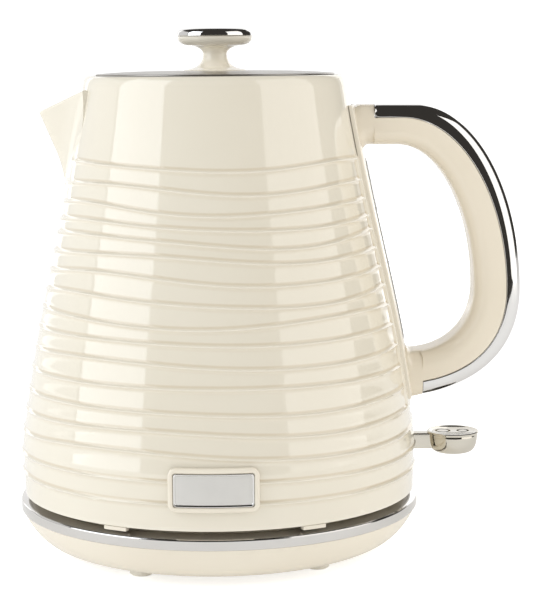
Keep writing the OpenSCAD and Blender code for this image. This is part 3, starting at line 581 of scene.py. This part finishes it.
def make_spout():
    """The V of the spout with a fillet that ends flush on the jug, and its channel inside."""
    low_z = SPOUT_LOW_Z - 7
    lip_r = 0.45              # rounding of the lip
    half_turn = 22.0          # the spout's fillets end this far round the jug from its middle
    columns = []
    turns = [half_turn * math.copysign(abs(t) ** 1.15, t) for t in [i / 36 for i in range(-36, 37)]]
    for turn in turns:
        angle = 180 + turn
        crests = rib_heights(angle)

        def outer(z):
            return blend_max(skin_r(angle, z, crests) + 0.03, wedge_r(turn, z), SPOUT_BLEND)

        def inner(z):
            return max(skin_r(angle, z, crests) - lip_r, wedge_r(turn, z, SPOUT_WALL))

        lip_z = SPOUT_TIP_Z
        for _ in range(12):
            lip_z = lip_height(outer(lip_z) * cosd(turn))
        heights = [low_z + (lip_z - lip_r - low_z) * i / 44 for i in range(45)]
        r_out, r_in = outer(lip_z - lip_r), inner(lip_z - lip_r)
        mid, half = (r_out + r_in) / 2, (r_out - r_in) / 2
        profile = [(outer(z), z) for z in heights]
        profile += [(mid + half * cosd(t), lip_z - lip_r + lip_r * sind(t))
                    for t in (25, 50, 90, 130, 155)]
        profile += [(inner(z), z) for z in reversed(heights)]
        c, s = cosd(angle), sind(angle)
        columns.append([(r * c, r * s, z) for r, z in profile])
    verts, faces = sweep(columns)
    return make_piece("spout_skin", verts, faces, "jug", "cream_enamel", ENAMEL, ["spout"], sharp=55)


# ---------- rim, lid and knob ----------

def make_rim():
    """The plastic ring inside the jug's top, under the skin's flange."""
    shoulder_z, top_z = RIM_Z - 1.2, RIM_Z - 0.1
    flange_r = jug_r(RIM_Z) - RIB_H - FLANGE_W - 0.15

    def wall_r(z):
        return jug_r(z) - RIB_H - WALL - SEAT_GAP

    outline = [(RIM_BORE_R, rim_low.z), (wall_r(rim_low.z), rim_low.z), (wall_r(shoulder_z), shoulder_z),
               (flange_r, shoulder_z), (flange_r, top_z), (RIM_BORE_R, top_z)]
    verts, faces = lathe(rounded(outline, [0.4, 0.6, 0.2, 0.1, 0.25, 0.35]), 180)
    return make_piece("rim_ring", verts, faces, "jug", "cream_plastic", PLASTIC, ["jug_rim"])


def make_lid():
    """The steel disc: a flat-topped dome with a rolled edge, over a dark rubber gasket ring: a seal under the
    lid's edge, and a dark stand-in for the line of shade under the rolled edge.
    """
    edge_z, lid_r, thick = lid_low.z + 1.75, lid_high.x, 0.7
    dome = lid_high.z - edge_z
    top = [(lid_r * i / 24, edge_z + dome * (1 - (i / 24) ** 4)) for i in range(24)]
    rolled = [(lid_r - 0.45, edge_z + 0.12), (lid_r - 0.12, edge_z - 0.02), (lid_r, edge_z - 0.25),
              (lid_r - 0.1, edge_z - 0.5), (lid_r - 0.4, edge_z - 0.62)]
    under = [(r, z - thick) for r, z in reversed(top)]
    make_piece("lid_disc", *lathe(top + rolled + under, 180), "lid", "brushed_steel", LID_STEEL, ["lid_plate"],
               sharp=60)
    # Painted shade: a dark ring under the rolled edge, so that the gap there shows as a dark line.
    gasket = rounded([(lid_r - 5, lid_low.z - 0.05), (lid_r - 0.35, lid_low.z - 0.05),
                      (lid_r - 0.35, edge_z - 0.55), (lid_r - 5, edge_z - 0.55)], 0.15)
    make_piece("lid_gasket_shade_line", *lathe(gasket, 144), "lid", "dark_rubber", RUBBER)


def make_knob():
    """A turned knob: flared foot, waisted neck and a wide head that is dished underneath."""
    foot_z, lid_z, head_z = lid_low.z + 1.4, lid_high.z, knob_high.z
    foot_r, neck_r, head_r = 13.2, 5.0, cap_high.x
    outline = [(0, lid_z - 0.5), (foot_r, lid_z - 0.5), (foot_r, lid_z + 0.1)]
    outline += cubic((foot_r - 0.4, lid_z + 0.35), (8.6, lid_z + 1.0), (neck_r + 0.6, foot_z + 3.6),
                     (neck_r, foot_z + 7.6), 16)
    outline += cubic((neck_r, foot_z + 8.5), (neck_r + 0.2, foot_z + 10.9), (neck_r + 2.5, foot_z + 11.6),
                     (head_r - 4.5, foot_z + 12.1), 12)
    outline += cubic((head_r - 4.2, foot_z + 12.12), (head_r - 1.8, foot_z + 12.5),
                     (head_r - 0.3, head_z - 2.0), (head_r, head_z - 0.1), 10)
    outline += [(head_r - 0.25, head_z), (0, head_z)]
    verts, faces = lathe(outline, 120)
    return make_piece("knob_turned", verts, faces, "lid", "cream_plastic", LIT_KNOB_CREAM, ["knob"], sharp=50)


def make_cap():
    """The chrome cap on the knob, nearly flat on top."""
    low_z, top_z = cap_low.z + 0.12, cap_high.z
    r = cap_high.x
    outline = [(0, low_z), (r - 0.35, low_z)]
    outline += cubic((r, low_z + 0.25), (r + 0.02, low_z + 2.0), (r - 0.6, top_z - 0.45),
                     (r - 3.4, top_z - 0.2), 14)
    outline += [(r - 6, top_z - 0.1), (r - 9, top_z - 0.05), (0, top_z)]
    verts, faces = lathe(outline, 120)
    return make_piece("knob_top", verts, faces, "lid", "chrome_trim", CHROME, ["knob_cap"], sharp=50)


# ---------- base ----------

def make_bowl():
    """The cream bowl: flat underside, curved side, and a neck that goes up inside the chrome ring."""
    floor_r, wall = floor_high.x + 0.5, 2.4
    z0, z1 = bowl_low.z, ring_low.z
    ring_r = ring_high.x

    def side(inset):
        return cubic((floor_r, z0 + inset), (floor_r + 9 - inset, z0 + inset),
                     (ring_r - 4.5 - inset, z1 - 8.6), (ring_r - 0.5 - inset, z1), 22)

    neck_r = ring_r - 2.0
    outline = [(floor_r - 3, z0)] + side(0)[:-1]
    outline += [(ring_r - 0.55, z1 - 0.1), (ring_r - 0.75, z1), (neck_r, z1)]
    outline += [(neck_r, bowl_high.z), (neck_r - wall, bowl_high.z), (neck_r - wall, z1)]
    outline += list(reversed(side(wall)))[1:] + [(floor_r - 3, z0 + wall)]
    verts, faces = lathe(outline, 216)
    bowl = make_piece("bowl", verts, faces, "base", "cream_plastic", PLASTIC, ["base_bowl"], sharp=45)
    # The hole for the outlet's bush points straight out from the axis.
    middle = (bush_low + bush_high) / 2
    turn = math.degrees(math.atan2(middle.y, middle.x))
    bush_r = (bush_high.z - bush_low.z) / 2 + 0.1
    bore, bore_faces = lathe([(0, -20), (bush_r, -20), (bush_r, 20), (0, 20)], 48)
    bore, _ = moved(([(z, y, -x) for x, y, z in bore], []), middle, turn)
    cut_with(bowl, [cutter_object(bore, bore_faces)], sharp=45)
    return bowl


def make_ring():
    """The chrome ring: an upright band with a lip that slopes in towards the jug."""
    r, z0, z1 = ring_high.x, ring_low.z, ring_high.z
    band = 4.1
    slope_r = r - 5
    outline = [(r - 1.5, z0), (r - 0.35, z0), (r, z0 + 0.35), (r, z0 + band - 0.35),
               (r - 0.12, z0 + band + 0.05), (r - 0.5, z0 + band + 0.35),
               (slope_r + 0.4, z1 - 0.06), (slope_r, z1), (slope_r - 1.2, z1),
               (slope_r - 1.2, z0 + band - 0.7), (r - 1.5, z0 + band - 0.7)]
    verts, faces = lathe(rounded(outline, [0, 0.25, 0.25, 0.3, 0.3, 0.3, 0.2, 0.2, 0, 0, 0]), 240)
    return make_piece("ring", verts, faces, "base", "chrome_trim", RING_CHROME, ["base_ring"], sharp=60)


def foot_places():
    """Centres of the feet: the CAD's feet stand one in each quarter of the base."""
    quarters = {}
    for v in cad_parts["base_feet"].data.vertices:
        quarters.setdefault((v.co.x > 0, v.co.y > 0), []).append(v.co / MM)
    out = []
    for points in quarters.values():
        xs, ys = [p.x for p in points], [p.y for p in points]
        out.append(((min(xs) + max(xs)) / 2, (min(ys) + max(ys)) / 2))
    return out


def make_feet():
    """Four rubber feet with rounded edges, as one piece."""
    radius, top = 5.0, bowl_low.z
    outline = [(0, 0), (radius - 0.9, 0), (radius, 0.7), (radius, top), (3, top), (3, top + 1), (0, top + 1)]
    foot = lathe(rounded(outline, [0, 0.6, 0.6, 0, 0, 0, 0]), 48)
    verts, faces = joined(*[moved(foot, (x, y, 0)) for x, y in foot_places()])
    return make_piece("feet", verts, faces, "base", "foot_rubber", FOOT_RUBBER, ["base_feet"])


# ---------- handle ----------

HANDLE_TOP_Z = trim_high.z
HANDLE_LOW_Z = shell_low.z + 38.8
HANDLE_REACH = trim_high.x
HANDLE_MID_Z = HANDLE_LOW_Z + 0.37 * (HANDLE_TOP_Z - HANDLE_LOW_Z)
HANDLE_HALF_W = trim_high.y
TRIM_T = 6.3           # depth of the chrome back
HANDLE_T = 19.5        # depth of the handle where it is furthest out
ROOT_T = 16.5          # and at its roots
BOTTOM_R = BELLY_R - SWELL
STEPS = 34             # points along each half of the handle's curves


def d_curve(top_x, top_z, out_x, mid_z, low_x, low_z, lift):
    """A D-shaped curve in the XZ plane: along the top, out to its furthest point and back to the bottom."""
    upper = cubic((top_x, top_z), (top_x + 0.58 * (out_x - top_x), top_z),
                  (out_x, mid_z + 0.52 * (top_z - mid_z)), (out_x, mid_z), STEPS)
    lower = cubic((out_x, mid_z), (out_x, mid_z - 0.6 * (mid_z - low_z)),
                  (low_x + 0.6 * (out_x - low_x), low_z + lift), (low_x, low_z), STEPS)
    return [Vector(p) for p in upper + lower[1:]]


back_line = d_curve(TOP_R + 28, HANDLE_TOP_Z, HANDLE_REACH, HANDLE_MID_Z, BOTTOM_R - 4, HANDLE_LOW_Z, 3)
seam_line = d_curve(TOP_R + 22, HANDLE_TOP_Z - TRIM_T + 1, HANDLE_REACH - TRIM_T, HANDLE_MID_Z,
                    BOTTOM_R, HANDLE_LOW_Z + TRIM_T + 0.6, 3)
palm_line = d_curve(TOP_R + 20, HANDLE_TOP_Z - ROOT_T, HANDLE_REACH - HANDLE_T, HANDLE_MID_Z + 1,
                    BOTTOM_R - 4, HANDLE_LOW_Z + ROOT_T + 2.5, 0)
TRIM_TOP_X = TOP_R + 11        # where the chrome back begins
TRIM_LOW_X = BOTTOM_R + 3      # and where it ends
TRIM_GAP = 0.2
GAUGE_PROUD = 1.4              # how far the gauge's frame stands out from the jug
ROOT_SINK = 1.7                # how far the roots go into the frame


def root_x(z):
    """Where a root ends, at height z."""
    return jug_r(z) + GAUGE_PROUD - ROOT_SINK


def line_at(line, x):
    """The point of a curve's lower end at a distance from the axis."""
    for k in range(len(line) - 1, 0, -1):
        a, b = line[k], line[k - 1]
        if a.x <= x <= b.x:
            return a + (b - a) * ((x - a.x) / (b.x - a.x))
    return line[-1]


def curve_to_trim_end():
    """Numbers of the points of the handle's curves that lie before the chrome back's lower end."""
    return range(max(i for i in range(len(seam_line)) if seam_line[i].x > TRIM_LOW_X + 3 or i < STEPS) + 1)


def quarter(steps):
    """Angles from 0 to 90 degrees, both ends included."""
    return [math.radians(90 * k / steps) for k in range(steps + 1)]


def section(inner, outer, inner_r, outer_r):
    """A ring of points across the handle, from its inner to its outer line, with rounded corners.

    inner and outer are points in the XZ plane. inner_r and outer_r are the corners' radii.
    """
    inner, outer = Vector(inner), Vector(outer)
    depth = (outer - inner).length
    along = (outer - inner) / depth
    inner_r, outer_r = min(inner_r, 0.49 * depth), min(outer_r, 0.9 * depth)
    half = []
    for a in quarter(7):
        half.append((inner_r * (1 - math.cos(a)), HANDLE_HALF_W - inner_r + inner_r * math.sin(a)))
    for t in (0.25, 0.5, 0.75):
        half.append((inner_r + (depth - inner_r - outer_r) * t, HANDLE_HALF_W))
    for a in quarter(8):
        half.append((depth - outer_r + outer_r * math.sin(a), HANDLE_HALF_W - outer_r + outer_r * math.cos(a)))
    first, last = half[0][1], half[-1][1]
    half += [(depth, last * t) for t in (0.66, 0.33)]
    mirror = [(d, -y) for d, y in reversed(half)]
    front = [(0.0, first * t) for t in (-0.5, 0.0, 0.5)]
    ring = half + [(depth, 0.0)] + mirror + front
    return [(inner.x + along.x * d, y, inner.y + along.y * d) for d, y in ring]


def grip_station(palm, seam):
    """Across the grip where the chrome covers its back."""
    return section(palm, seam, 7.5, 0.5)


def root_station(palm, back):
    """Across the grip at a root, which has no chrome."""
    return section(palm, back, 7.5, 5.5)


def fillet(distance, radius):
    """How far a root's surface flares out at a distance from the jug."""
    t = min(distance / radius, 1.0)
    return radius * (1 - math.sqrt(max(0.0, 1 - (1 - t) ** 2)))


def make_grip():
    """The cream part of the handle, from one root to the other, flared where it meets the gauge's frame."""
    stations = []
    # The top root, from the gauge's frame to where the trim begins.
    top_palm_z, top_back_z = palm_line[0].y, back_line[0].y
    end_x = TRIM_TOP_X - TRIM_GAP
    flare, back_flare = 2.2, 1.5
    for k in range(9):
        t = k / 8
        palm_x = root_x(top_palm_z - flare) * (1 - t) + end_x * t
        back_x = root_x(top_back_z) * (1 - t) + end_x * t
        drop = fillet(palm_x - root_x(top_palm_z) - ROOT_SINK, flare)
        rise = 0.6 * fillet(back_x - root_x(top_back_z) - ROOT_SINK, back_flare)
        stations.append(root_station((palm_x, top_palm_z - drop), (back_x, top_back_z - rise)))
    seam_z = seam_line[0].y
    for k in range(5):
        t = k / 5
        palm_x = end_x * (1 - t) + palm_line[0].x * t
        seam_x = end_x * (1 - t) + seam_line[0].x * t
        stations.append(grip_station((palm_x, top_palm_z), (seam_x, seam_z)))
    # Round the curve, as far as the trim goes.
    stations += [grip_station(palm_line[i], seam_line[i]) for i in curve_to_trim_end()]
    # The bottom root, back to the gauge's frame.
    end_x = TRIM_LOW_X - TRIM_GAP
    palm, back = line_at(palm_line, end_x), line_at(back_line, end_x)
    stations.append(grip_station(palm, line_at(seam_line, TRIM_LOW_X - TRIM_GAP / 2)))
    low_palm_z, low_back_z = palm_line[-1].y, HANDLE_LOW_Z - 0.1
    for k in range(10):
        t = k / 9
        palm_x = palm.x * (1 - t) + root_x(low_palm_z + flare) * t
        back_x = back.x * (1 - t) + root_x(low_back_z) * t
        lift = fillet(palm_x - root_x(low_palm_z) - ROOT_SINK, flare)
        palm_z = palm.y * (1 - smooth(0, 1, t)) + low_palm_z * smooth(0, 1, t) + lift
        back_z = back.y * (1 - t) + low_back_z * t
        stations.append(root_station((palm_x, palm_z), (back_x, back_z)))
    verts, faces = sweep(stations)
    return make_piece("grip", verts, faces, "jug", "cream_plastic", GRIP, ["handle_grip"], sharp=40)


def make_trim():
    """The chrome back: rounded outer corners, a rounded lower corner at its start, and square ends."""
    outer_r, corner, gap = 5.6, 1.9, 0.12
    pairs = []
    for run in (0, 0.06, 0.25, 0.6, 1.1, 1.9, 4, 7):
        lift = corner - math.sqrt(max(0.0, corner ** 2 - max(0.0, corner - run) ** 2))
        x = TRIM_TOP_X + run
        pairs.append((Vector((x, seam_line[0].y + lift)), Vector((x, back_line[0].y))))
    pairs += [(seam_line[i], back_line[i]) for i in curve_to_trim_end() if i]
    pairs.append((line_at(seam_line, TRIM_LOW_X), line_at(back_line, TRIM_LOW_X)))
    stations = [section(seam + (back - seam).normalized() * gap, back, 0.3, outer_r) for seam, back in pairs]
    verts, faces = sweep(stations)
    return make_piece("handle_chrome", verts, faces, "jug", "chrome_trim", CHROME, ["handle_trim"], sharp=45)


# ---------- gauge ----------

def jug_strip(half_w, z0, z1, inner, outer, edge_r, rows):
    """A strip on the jug's side under the handle, with rounded edges, from one offset to another."""
    ring = rounded([(inner, -half_w), (outer, -half_w), (outer, half_w), (inner, half_w)],
                   [0, edge_r, edge_r, 0])
    fine = []
    for k, (d, y) in enumerate(ring):
        d2, y2 = ring[(k + 1) % len(ring)]
        count = max(1, int(abs(y2 - y) / 2.5))
        fine += [(d + (d2 - d) * i / count, y + (y2 - y) * i / count) for i in range(count)]
    stations = []
    for i in range(rows + 1):
        z = z0 + (z1 - z0) * i / rows
        near_end = min(i, rows - i)
        pull = edge_r * (1 - math.sqrt(1 - (1 - near_end / 2) ** 2)) if near_end < 2 else 0.0
        points = []
        for d, y in fine:
            r = jug_r(z) + (d if d < outer - edge_r else d - pull * 0.8)
            y_in = y * (1 - 0.5 * pull / half_w)
            points.append((math.sqrt(max(r * r - y_in * y_in, 0.0)), y_in, z))
        stations.append(points)
    return sweep(stations)


def make_gauge():
    """The gauge's frame, its lens, and its level marks, which are short raised lines on the lens."""
    half, gap, lens_proud = window_high.y, 0.2, GAUGE_PROUD + 0.4
    bezel = jug_strip(gauge_high.y, gauge_low.z, gauge_high.z, -0.3, GAUGE_PROUD, 0.7, 60)
    piece = make_piece("gauge_bezel", *bezel, "jug", "cream_plastic", PLASTIC, ["gauge_frame"], sharp=45)
    cut_with(piece, [box_cutter((20, -half - gap, window_low.z - gap), (110, half + gap, window_high.z + gap))],
             sharp=45)
    lens = jug_strip(half, window_low.z, window_high.z, -2.6, lens_proud, 0.5, 40)
    make_piece("gauge_lens", *lens, "jug", "clear_window", WINDOW, ["gauge_window"], sharp=45)
    marks = []
    for k in range(6):
        z = window_low.z + 10 + k * 11.5
        length = 6.4 if k % 2 == 0 else 3.6
        r = jug_r(z) + lens_proud - 0.02
        x = math.sqrt(r * r - 4)
        ring = [(x - 0.3, z - 0.3), (x + 0.08, z - 0.25), (x + 0.08, z + 0.25), (x - 0.3, z + 0.3)]
        marks.append(sweep([[(px, -length / 2 + length * i / 6, pz) for px, pz in ring] for i in range(7)]))
    make_piece("level_marks", *joined(*marks), "jug", "dark_plastic", DARK)


# ---------- badge ----------

def rounded_path(half_w, half_h, r, steps=8):
    """A rectangle with round corners, as points and outward directions, anticlockwise."""
    out = []
    for cx, cy, start in ((1, 1, 0), (-1, 1, 90), (-1, -1, 180), (1, -1, 270)):
        for k in range(steps + 1):
            a = math.radians(start + 90 * k / steps)
            out.append((cx * (half_w - r) + r * math.cos(a), cy * (half_h - r) + r * math.sin(a),
                        math.cos(a), math.sin(a)))
    return out


def on_front(s, h, r, z):
    """A point s along the front of a cylinder and h above the badge's middle, at radius r."""
    a = s / r
    return (r * math.sin(a), -r * math.cos(a), z + h)


def densify(path, most):
    """The closed path with points added, so that none are much further apart than most."""
    out = []
    for k, p in enumerate(path):
        q = path[(k + 1) % len(path)]
        count = max(1, int(math.hypot(q[0] - p[0], q[1] - p[1]) / most))
        out += [tuple(a + (b - a) * i / count for a, b in zip(p, q)) for i in range(count)]
    return out


def badge_ring(half_w, half_h, corner, profile, front_r, z):
    """A rounded rectangle on the jug's front, with an outline of (distance inwards, depth) pairs."""
    path = densify(rounded_path(half_w, half_h, corner), 1.5)
    return sweep([[on_front(x - nx * d, y - ny * d, front_r - depth, z) for d, depth in profile]
                  for x, y, nx, ny in path], closed=True)


def badge_plate(half_w, half_h, radii, z, cols=28, rows=10):
    """A curved plate between two radii."""
    verts = [on_front(-half_w + 2 * half_w * i / cols, -half_h + 2 * half_h * j / rows, r, z)
             for r in radii for j in range(rows + 1) for i in range(cols + 1)]
    count = len(verts) // 2
    faces = grid_faces(rows + 1, cols + 1) + grid_faces(rows + 1, cols + 1, first=count)
    border = ([j for j in range(cols + 1)] + [i * (cols + 1) + cols for i in range(1, rows + 1)]
              + [rows * (cols + 1) + j for j in range(cols - 1, -1, -1)]
              + [i * (cols + 1) for i in range(rows - 1, 0, -1)])
    for k, a in enumerate(border):
        b = border[(k + 1) % len(border)]
        faces.append((a, b, b + count, a + count))
    return verts, faces


def make_badge():
    """The cream frame, a thin chrome edge inside it, and the blank brushed plate."""
    z = (badge_low.z + badge_high.z) / 2
    half_w, half_h = badge_high.x, (badge_high.z - badge_low.z) / 2
    border, back_r, front_r = 2.0, BELLY_R - 0.5, BELLY_R + 1.55
    thick = front_r - back_r
    # Each outline is given as distances inwards and depths below the front.
    bezel = [(0, thick), (0, 0.65), (0.12, 0.3), (0.45, 0.06), (0.8, 0), (border - 0.7, 0), (border - 0.35, 0.08),
             (border - 0.1, 0.35), (border, 0.8), (border, thick)]
    make_piece("badge_bezel", *badge_ring(half_w, half_h, 3.2, bezel, front_r, z), "jug", "cream_plastic",
               PLASTIC, ["badge_frame"], sharp=50)
    inner_w, inner_h, edge_w = half_w - border - 0.05, half_h - border - 0.05, 1.05
    edge = [(0, thick), (0, 0.7), (0.12, 0.5), (0.35, 0.42), (0.6, 0.48), (0.85, 0.7), (edge_w, 1),
            (edge_w, thick)]
    make_piece("badge_edge", *badge_ring(inner_w, inner_h, 1.6, edge, front_r, z), "jug", "chrome_trim",
               CHROME, sharp=50)
    plate = badge_plate(inner_w - edge_w + 0.05, inner_h - edge_w + 0.05, (front_r - 0.9, back_r + 0.2), z)
    make_piece("badge_face", *plate, "jug", "brushed_steel", PLATE_STEEL, ["badge_plate"])


# ---------- switch lever ----------

def make_lever():
    """The chrome lever: hub, trip arm, flat bar and a bowl-shaped paddle with two shallow marks on top."""
    pin_x, pin_z = (pin_low.x + pin_high.x) / 2, (pin_low.z + pin_high.z) / 2
    paddle_r, top_z = lever_high.y, lever_high.z
    paddle_x = lever_high.x - paddle_r
    bar_h, hub_r, pin_r, rim_h = 7.0, 4.0, 1.55, 0.9

    # The paddle's outline, as radii and depths below its top.
    outline = [(0, 9.5), (paddle_r * 0.5, 9.4)]
    outline += cubic((paddle_r * 0.6, 9.25), (paddle_r * 0.88, 8.6), (paddle_r - 0.7, 5.8),
                     (paddle_r - 0.5, rim_h + 0.75), 14)
    outline += [(paddle_r - 0.62, rim_h + 0.5), (paddle_r - 0.6, rim_h + 0.2), (paddle_r - 0.1, rim_h),
                (paddle_r, rim_h - 0.2), (paddle_r, 0.3), (paddle_r - 0.3, 0), (paddle_r - 1.3, 0),
                (paddle_r - 1.6, 0.18), (0, 0.22)]
    paddle = moved(lathe([(r, -depth) for r, depth in outline], 96), (paddle_x, 0, top_z))

    def bar(x0, x1, z0, z1, r):
        half = LEVER_BAR_HALF_W
        ring = rounded([(-half, z0), (half, z0), (half, z1), (-half, z1)], r)
        return sweep([[(x, y, z) for y, z in ring] for x in (x0, x0 + 0.01, x1 - 0.01, x1)])

    def disc(r, *ys):
        ring = [(pin_x + r * math.cos(a), pin_z + r * math.sin(a))
                for a in [2 * math.pi * k / 40 for k in range(40)]]
        return sweep([[(x, y, z) for x, z in ring] for y in ys])

    # The lever's parts use the darker, browner chrome copy: painted shade and a painted warm reflection.
    def part(name, shape, *replaced):
        return make_piece(name, *shape, "switch", "chrome_trim", SHADED_CHROME, replaced, sharp=40)

    lever = part("lever_chrome", paddle, "switch_lever")
    part("lever_bar", bar(pin_x + 1, paddle_x - 3, pin_z - bar_h / 2, pin_z + bar_h / 2 - 0.25, 0.5))
    cut_with(part("lever_hub", disc(hub_r, -3, -2.9, 2.9, 3)), [cutter_object(*disc(pin_r, -10, 10))])
    part("lever_arm", bar(pin_x - 22, pin_x - 3, pin_z - 3.5, pin_z - 0.5, 0.3))
    # The two marks on top are shallow round grooves.
    marks = [moved(lathe([(r - 0.45, -0.9), (r + 0.45, -0.9), (r + 0.45, 1), (r - 0.45, 1)], 48),
                   (paddle_x + x, 0, top_z)) for x, r in ((-4.3, 2.9), (4.3, 2.3))]
    cut_with(lever, [cutter_object(*mark) for mark in marks], sharp=40)


# ---------- the CAD nodes that stay ----------

def dress(material, *names):
    """Gives CAD nodes that are kept a material."""
    for name in names:
        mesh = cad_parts[name].data
        mesh.materials.clear()
        mesh.materials.append(material)


dress(PLASTIC, "base_deck", "base_bottom", "bottom_cover", "filter_frame", "lid_plug")
dress(STEEL, "base_screws", "cover_screws", "handle_screws", "knob_screw", "lever_pin", "heater_plate",
      "heating_element", "filter_mesh", "steam_tube")
dress(ALUMINIUM, "heat_spreader")
dress(BRASS, "connector_pin", "terminal_blades", "bimetal_disc")
dress(DARK, "connector_post", "connector_collar", "control_block", "jug_coupler", "lever_bracket",
      "handle_core")
dress(RUBBER, "outlet_bush", "plate_seal", "gauge_gasket", "lid_seal")

for make in (make_skin, make_spout, make_rim, make_lid, make_knob, make_cap, make_bowl, make_ring, make_feet,
             make_grip, make_trim, make_gauge, make_badge, make_lever):
    make()


# ---------- camera, floor and light ----------

CAMERA_PLACE = (0.0219, -0.780, 0.2099)     # metres
CAMERA_PITCH, CAMERA_ROLL = 7.596, -0.406
CAMERA_LENS = 110.53
FLOOR_GLOW = 0.15           # light that the floor gives to the object
FLOOR_GLOW_SEEN = 0.6       # and to the camera

# Soft panels: name, azimuth from the badge's side towards the handle, distance, height, width, radiance and
# colour. The last is False for a panel that only shows in reflections.
PANELS = [("key", -65, 1.2, 1.5, 1.0, 2.45, (0.91, 0.95, 1.0), True),
          ("fill", 67, 1.2, 1.5, 1.2, 1.4, (1.0, 0.985, 0.96), True),
          ("left", -120, 1.5, 1.2, 1.7, 0.75, (1, 1, 1), False),
          ("right", 152, 1.6, 1.2, 0.9, 0.5, (1, 1, 1), False),
          ("back", 180, 1.7, 1.3, 2.6, 1.0, (1, 1, 1), True)]


def look_at(obj, target):
    """Turns an object's -Z towards the target."""
    direction = Vector(target) - obj.location
    obj.rotation_euler = direction.to_track_quat("-Z", "Y").to_euler()


def make_camera():
    data = bpy.data.cameras.new("camera")
    data.sensor_fit = "AUTO"
    data.sensor_width = 36.0
    data.lens = CAMERA_LENS
    camera = bpy.data.objects.new("camera", data)
    camera.location = CAMERA_PLACE
    camera.rotation_euler = (Matrix.Rotation(math.radians(90 - CAMERA_PITCH), 3, "X")
                             @ Matrix.Rotation(math.radians(CAMERA_ROLL), 3, "Z")).to_euler()
    show(camera)
    bpy.context.scene.camera = camera


def make_floor():
    """A white table that glows a little, so it stays white up to the horizon."""
    size, front = 6000.0, -680.0
    mesh = bpy.data.meshes.new("floor")
    mesh.from_pydata([(x * MM, y * MM, 0) for x, y in
                      ((-size, front), (size, front), (size, size), (-size, size))], [], [(0, 1, 2, 3)])
    floor = bpy.data.objects.new("floor", mesh)
    show(floor)
    white = finish("floor_white", (0.93, 0.93, 0.93), (0.91, 0.91, 0.91), (0.8, 0.9), patch=2,
                   constants={"Specular IOR Level": 0.1, "Emission Color": (1, 1, 1, 1)})
    tree = white.node_tree
    path = node(tree, "LightPath")
    glow = node(tree, "MapRange", in_To_Min=FLOOR_GLOW, in_To_Max=FLOOR_GLOW_SEEN)
    tree.links.new(path.outputs["Is Camera Ray"], glow.inputs["Value"])
    tree.links.new(glow.outputs["Result"], tree.nodes["Principled BSDF"].inputs["Emission Strength"])
    mesh.materials.append(white)


def make_panel(name, azimuth, distance, height, width, radiance, colour, lights):
    """A soft light panel that stands on the floor and faces the object."""
    data = bpy.data.lights.new(name, "AREA")
    data.shape = "RECTANGLE"
    data.size = width
    data.size_y = height
    data.energy = radiance * math.pi * data.size * data.size_y
    data.color = colour
    lamp = bpy.data.objects.new(name, data)
    a = math.radians(azimuth)
    lamp.location = (distance * math.sin(a), -distance * math.cos(a), height / 2)
    show(lamp)
    bpy.context.view_layer.update()
    look_at(lamp, (0, 0, height / 2))
    lamp.visible_camera = False
    lamp.visible_diffuse = lights


def make_world():
    """White where the camera sees it, soft for diffuse light and dark in reflections, as a studio is."""
    world = bpy.data.worlds.new("studio")
    bpy.context.scene.world = world
    world.use_nodes = True
    tree = world.node_tree
    tree.nodes.clear()
    path = node(tree, "LightPath")
    shown = node(tree, "Background", in_Color=(1, 1, 1, 1), in_Strength=1.15)
    ambient = node(tree, "Background", in_Color=(1, 0.99, 0.97, 1), in_Strength=0.58)
    mirrored = node(tree, "Background", in_Color=(1, 0.92, 0.84, 1), in_Strength=0.045)
    soft = node(tree, "MixShader")
    out = node(tree, "MixShader")
    end = node(tree, "OutputWorld")
    link = tree.links.new
    link(path.outputs["Is Glossy Ray"], soft.inputs["Fac"])
    link(ambient.outputs["Background"], soft.inputs[1])
    link(mirrored.outputs["Background"], soft.inputs[2])
    link(path.outputs["Is Camera Ray"], out.inputs["Fac"])
    link(soft.outputs["Shader"], out.inputs[1])
    link(shown.outputs["Background"], out.inputs[2])
    link(out.outputs["Shader"], end.inputs["Surface"])


make_camera()
make_floor()
make_world()
for panel in PANELS:
    make_panel(*panel)
bpy.context.scene.view_settings.view_transform = "Standard"
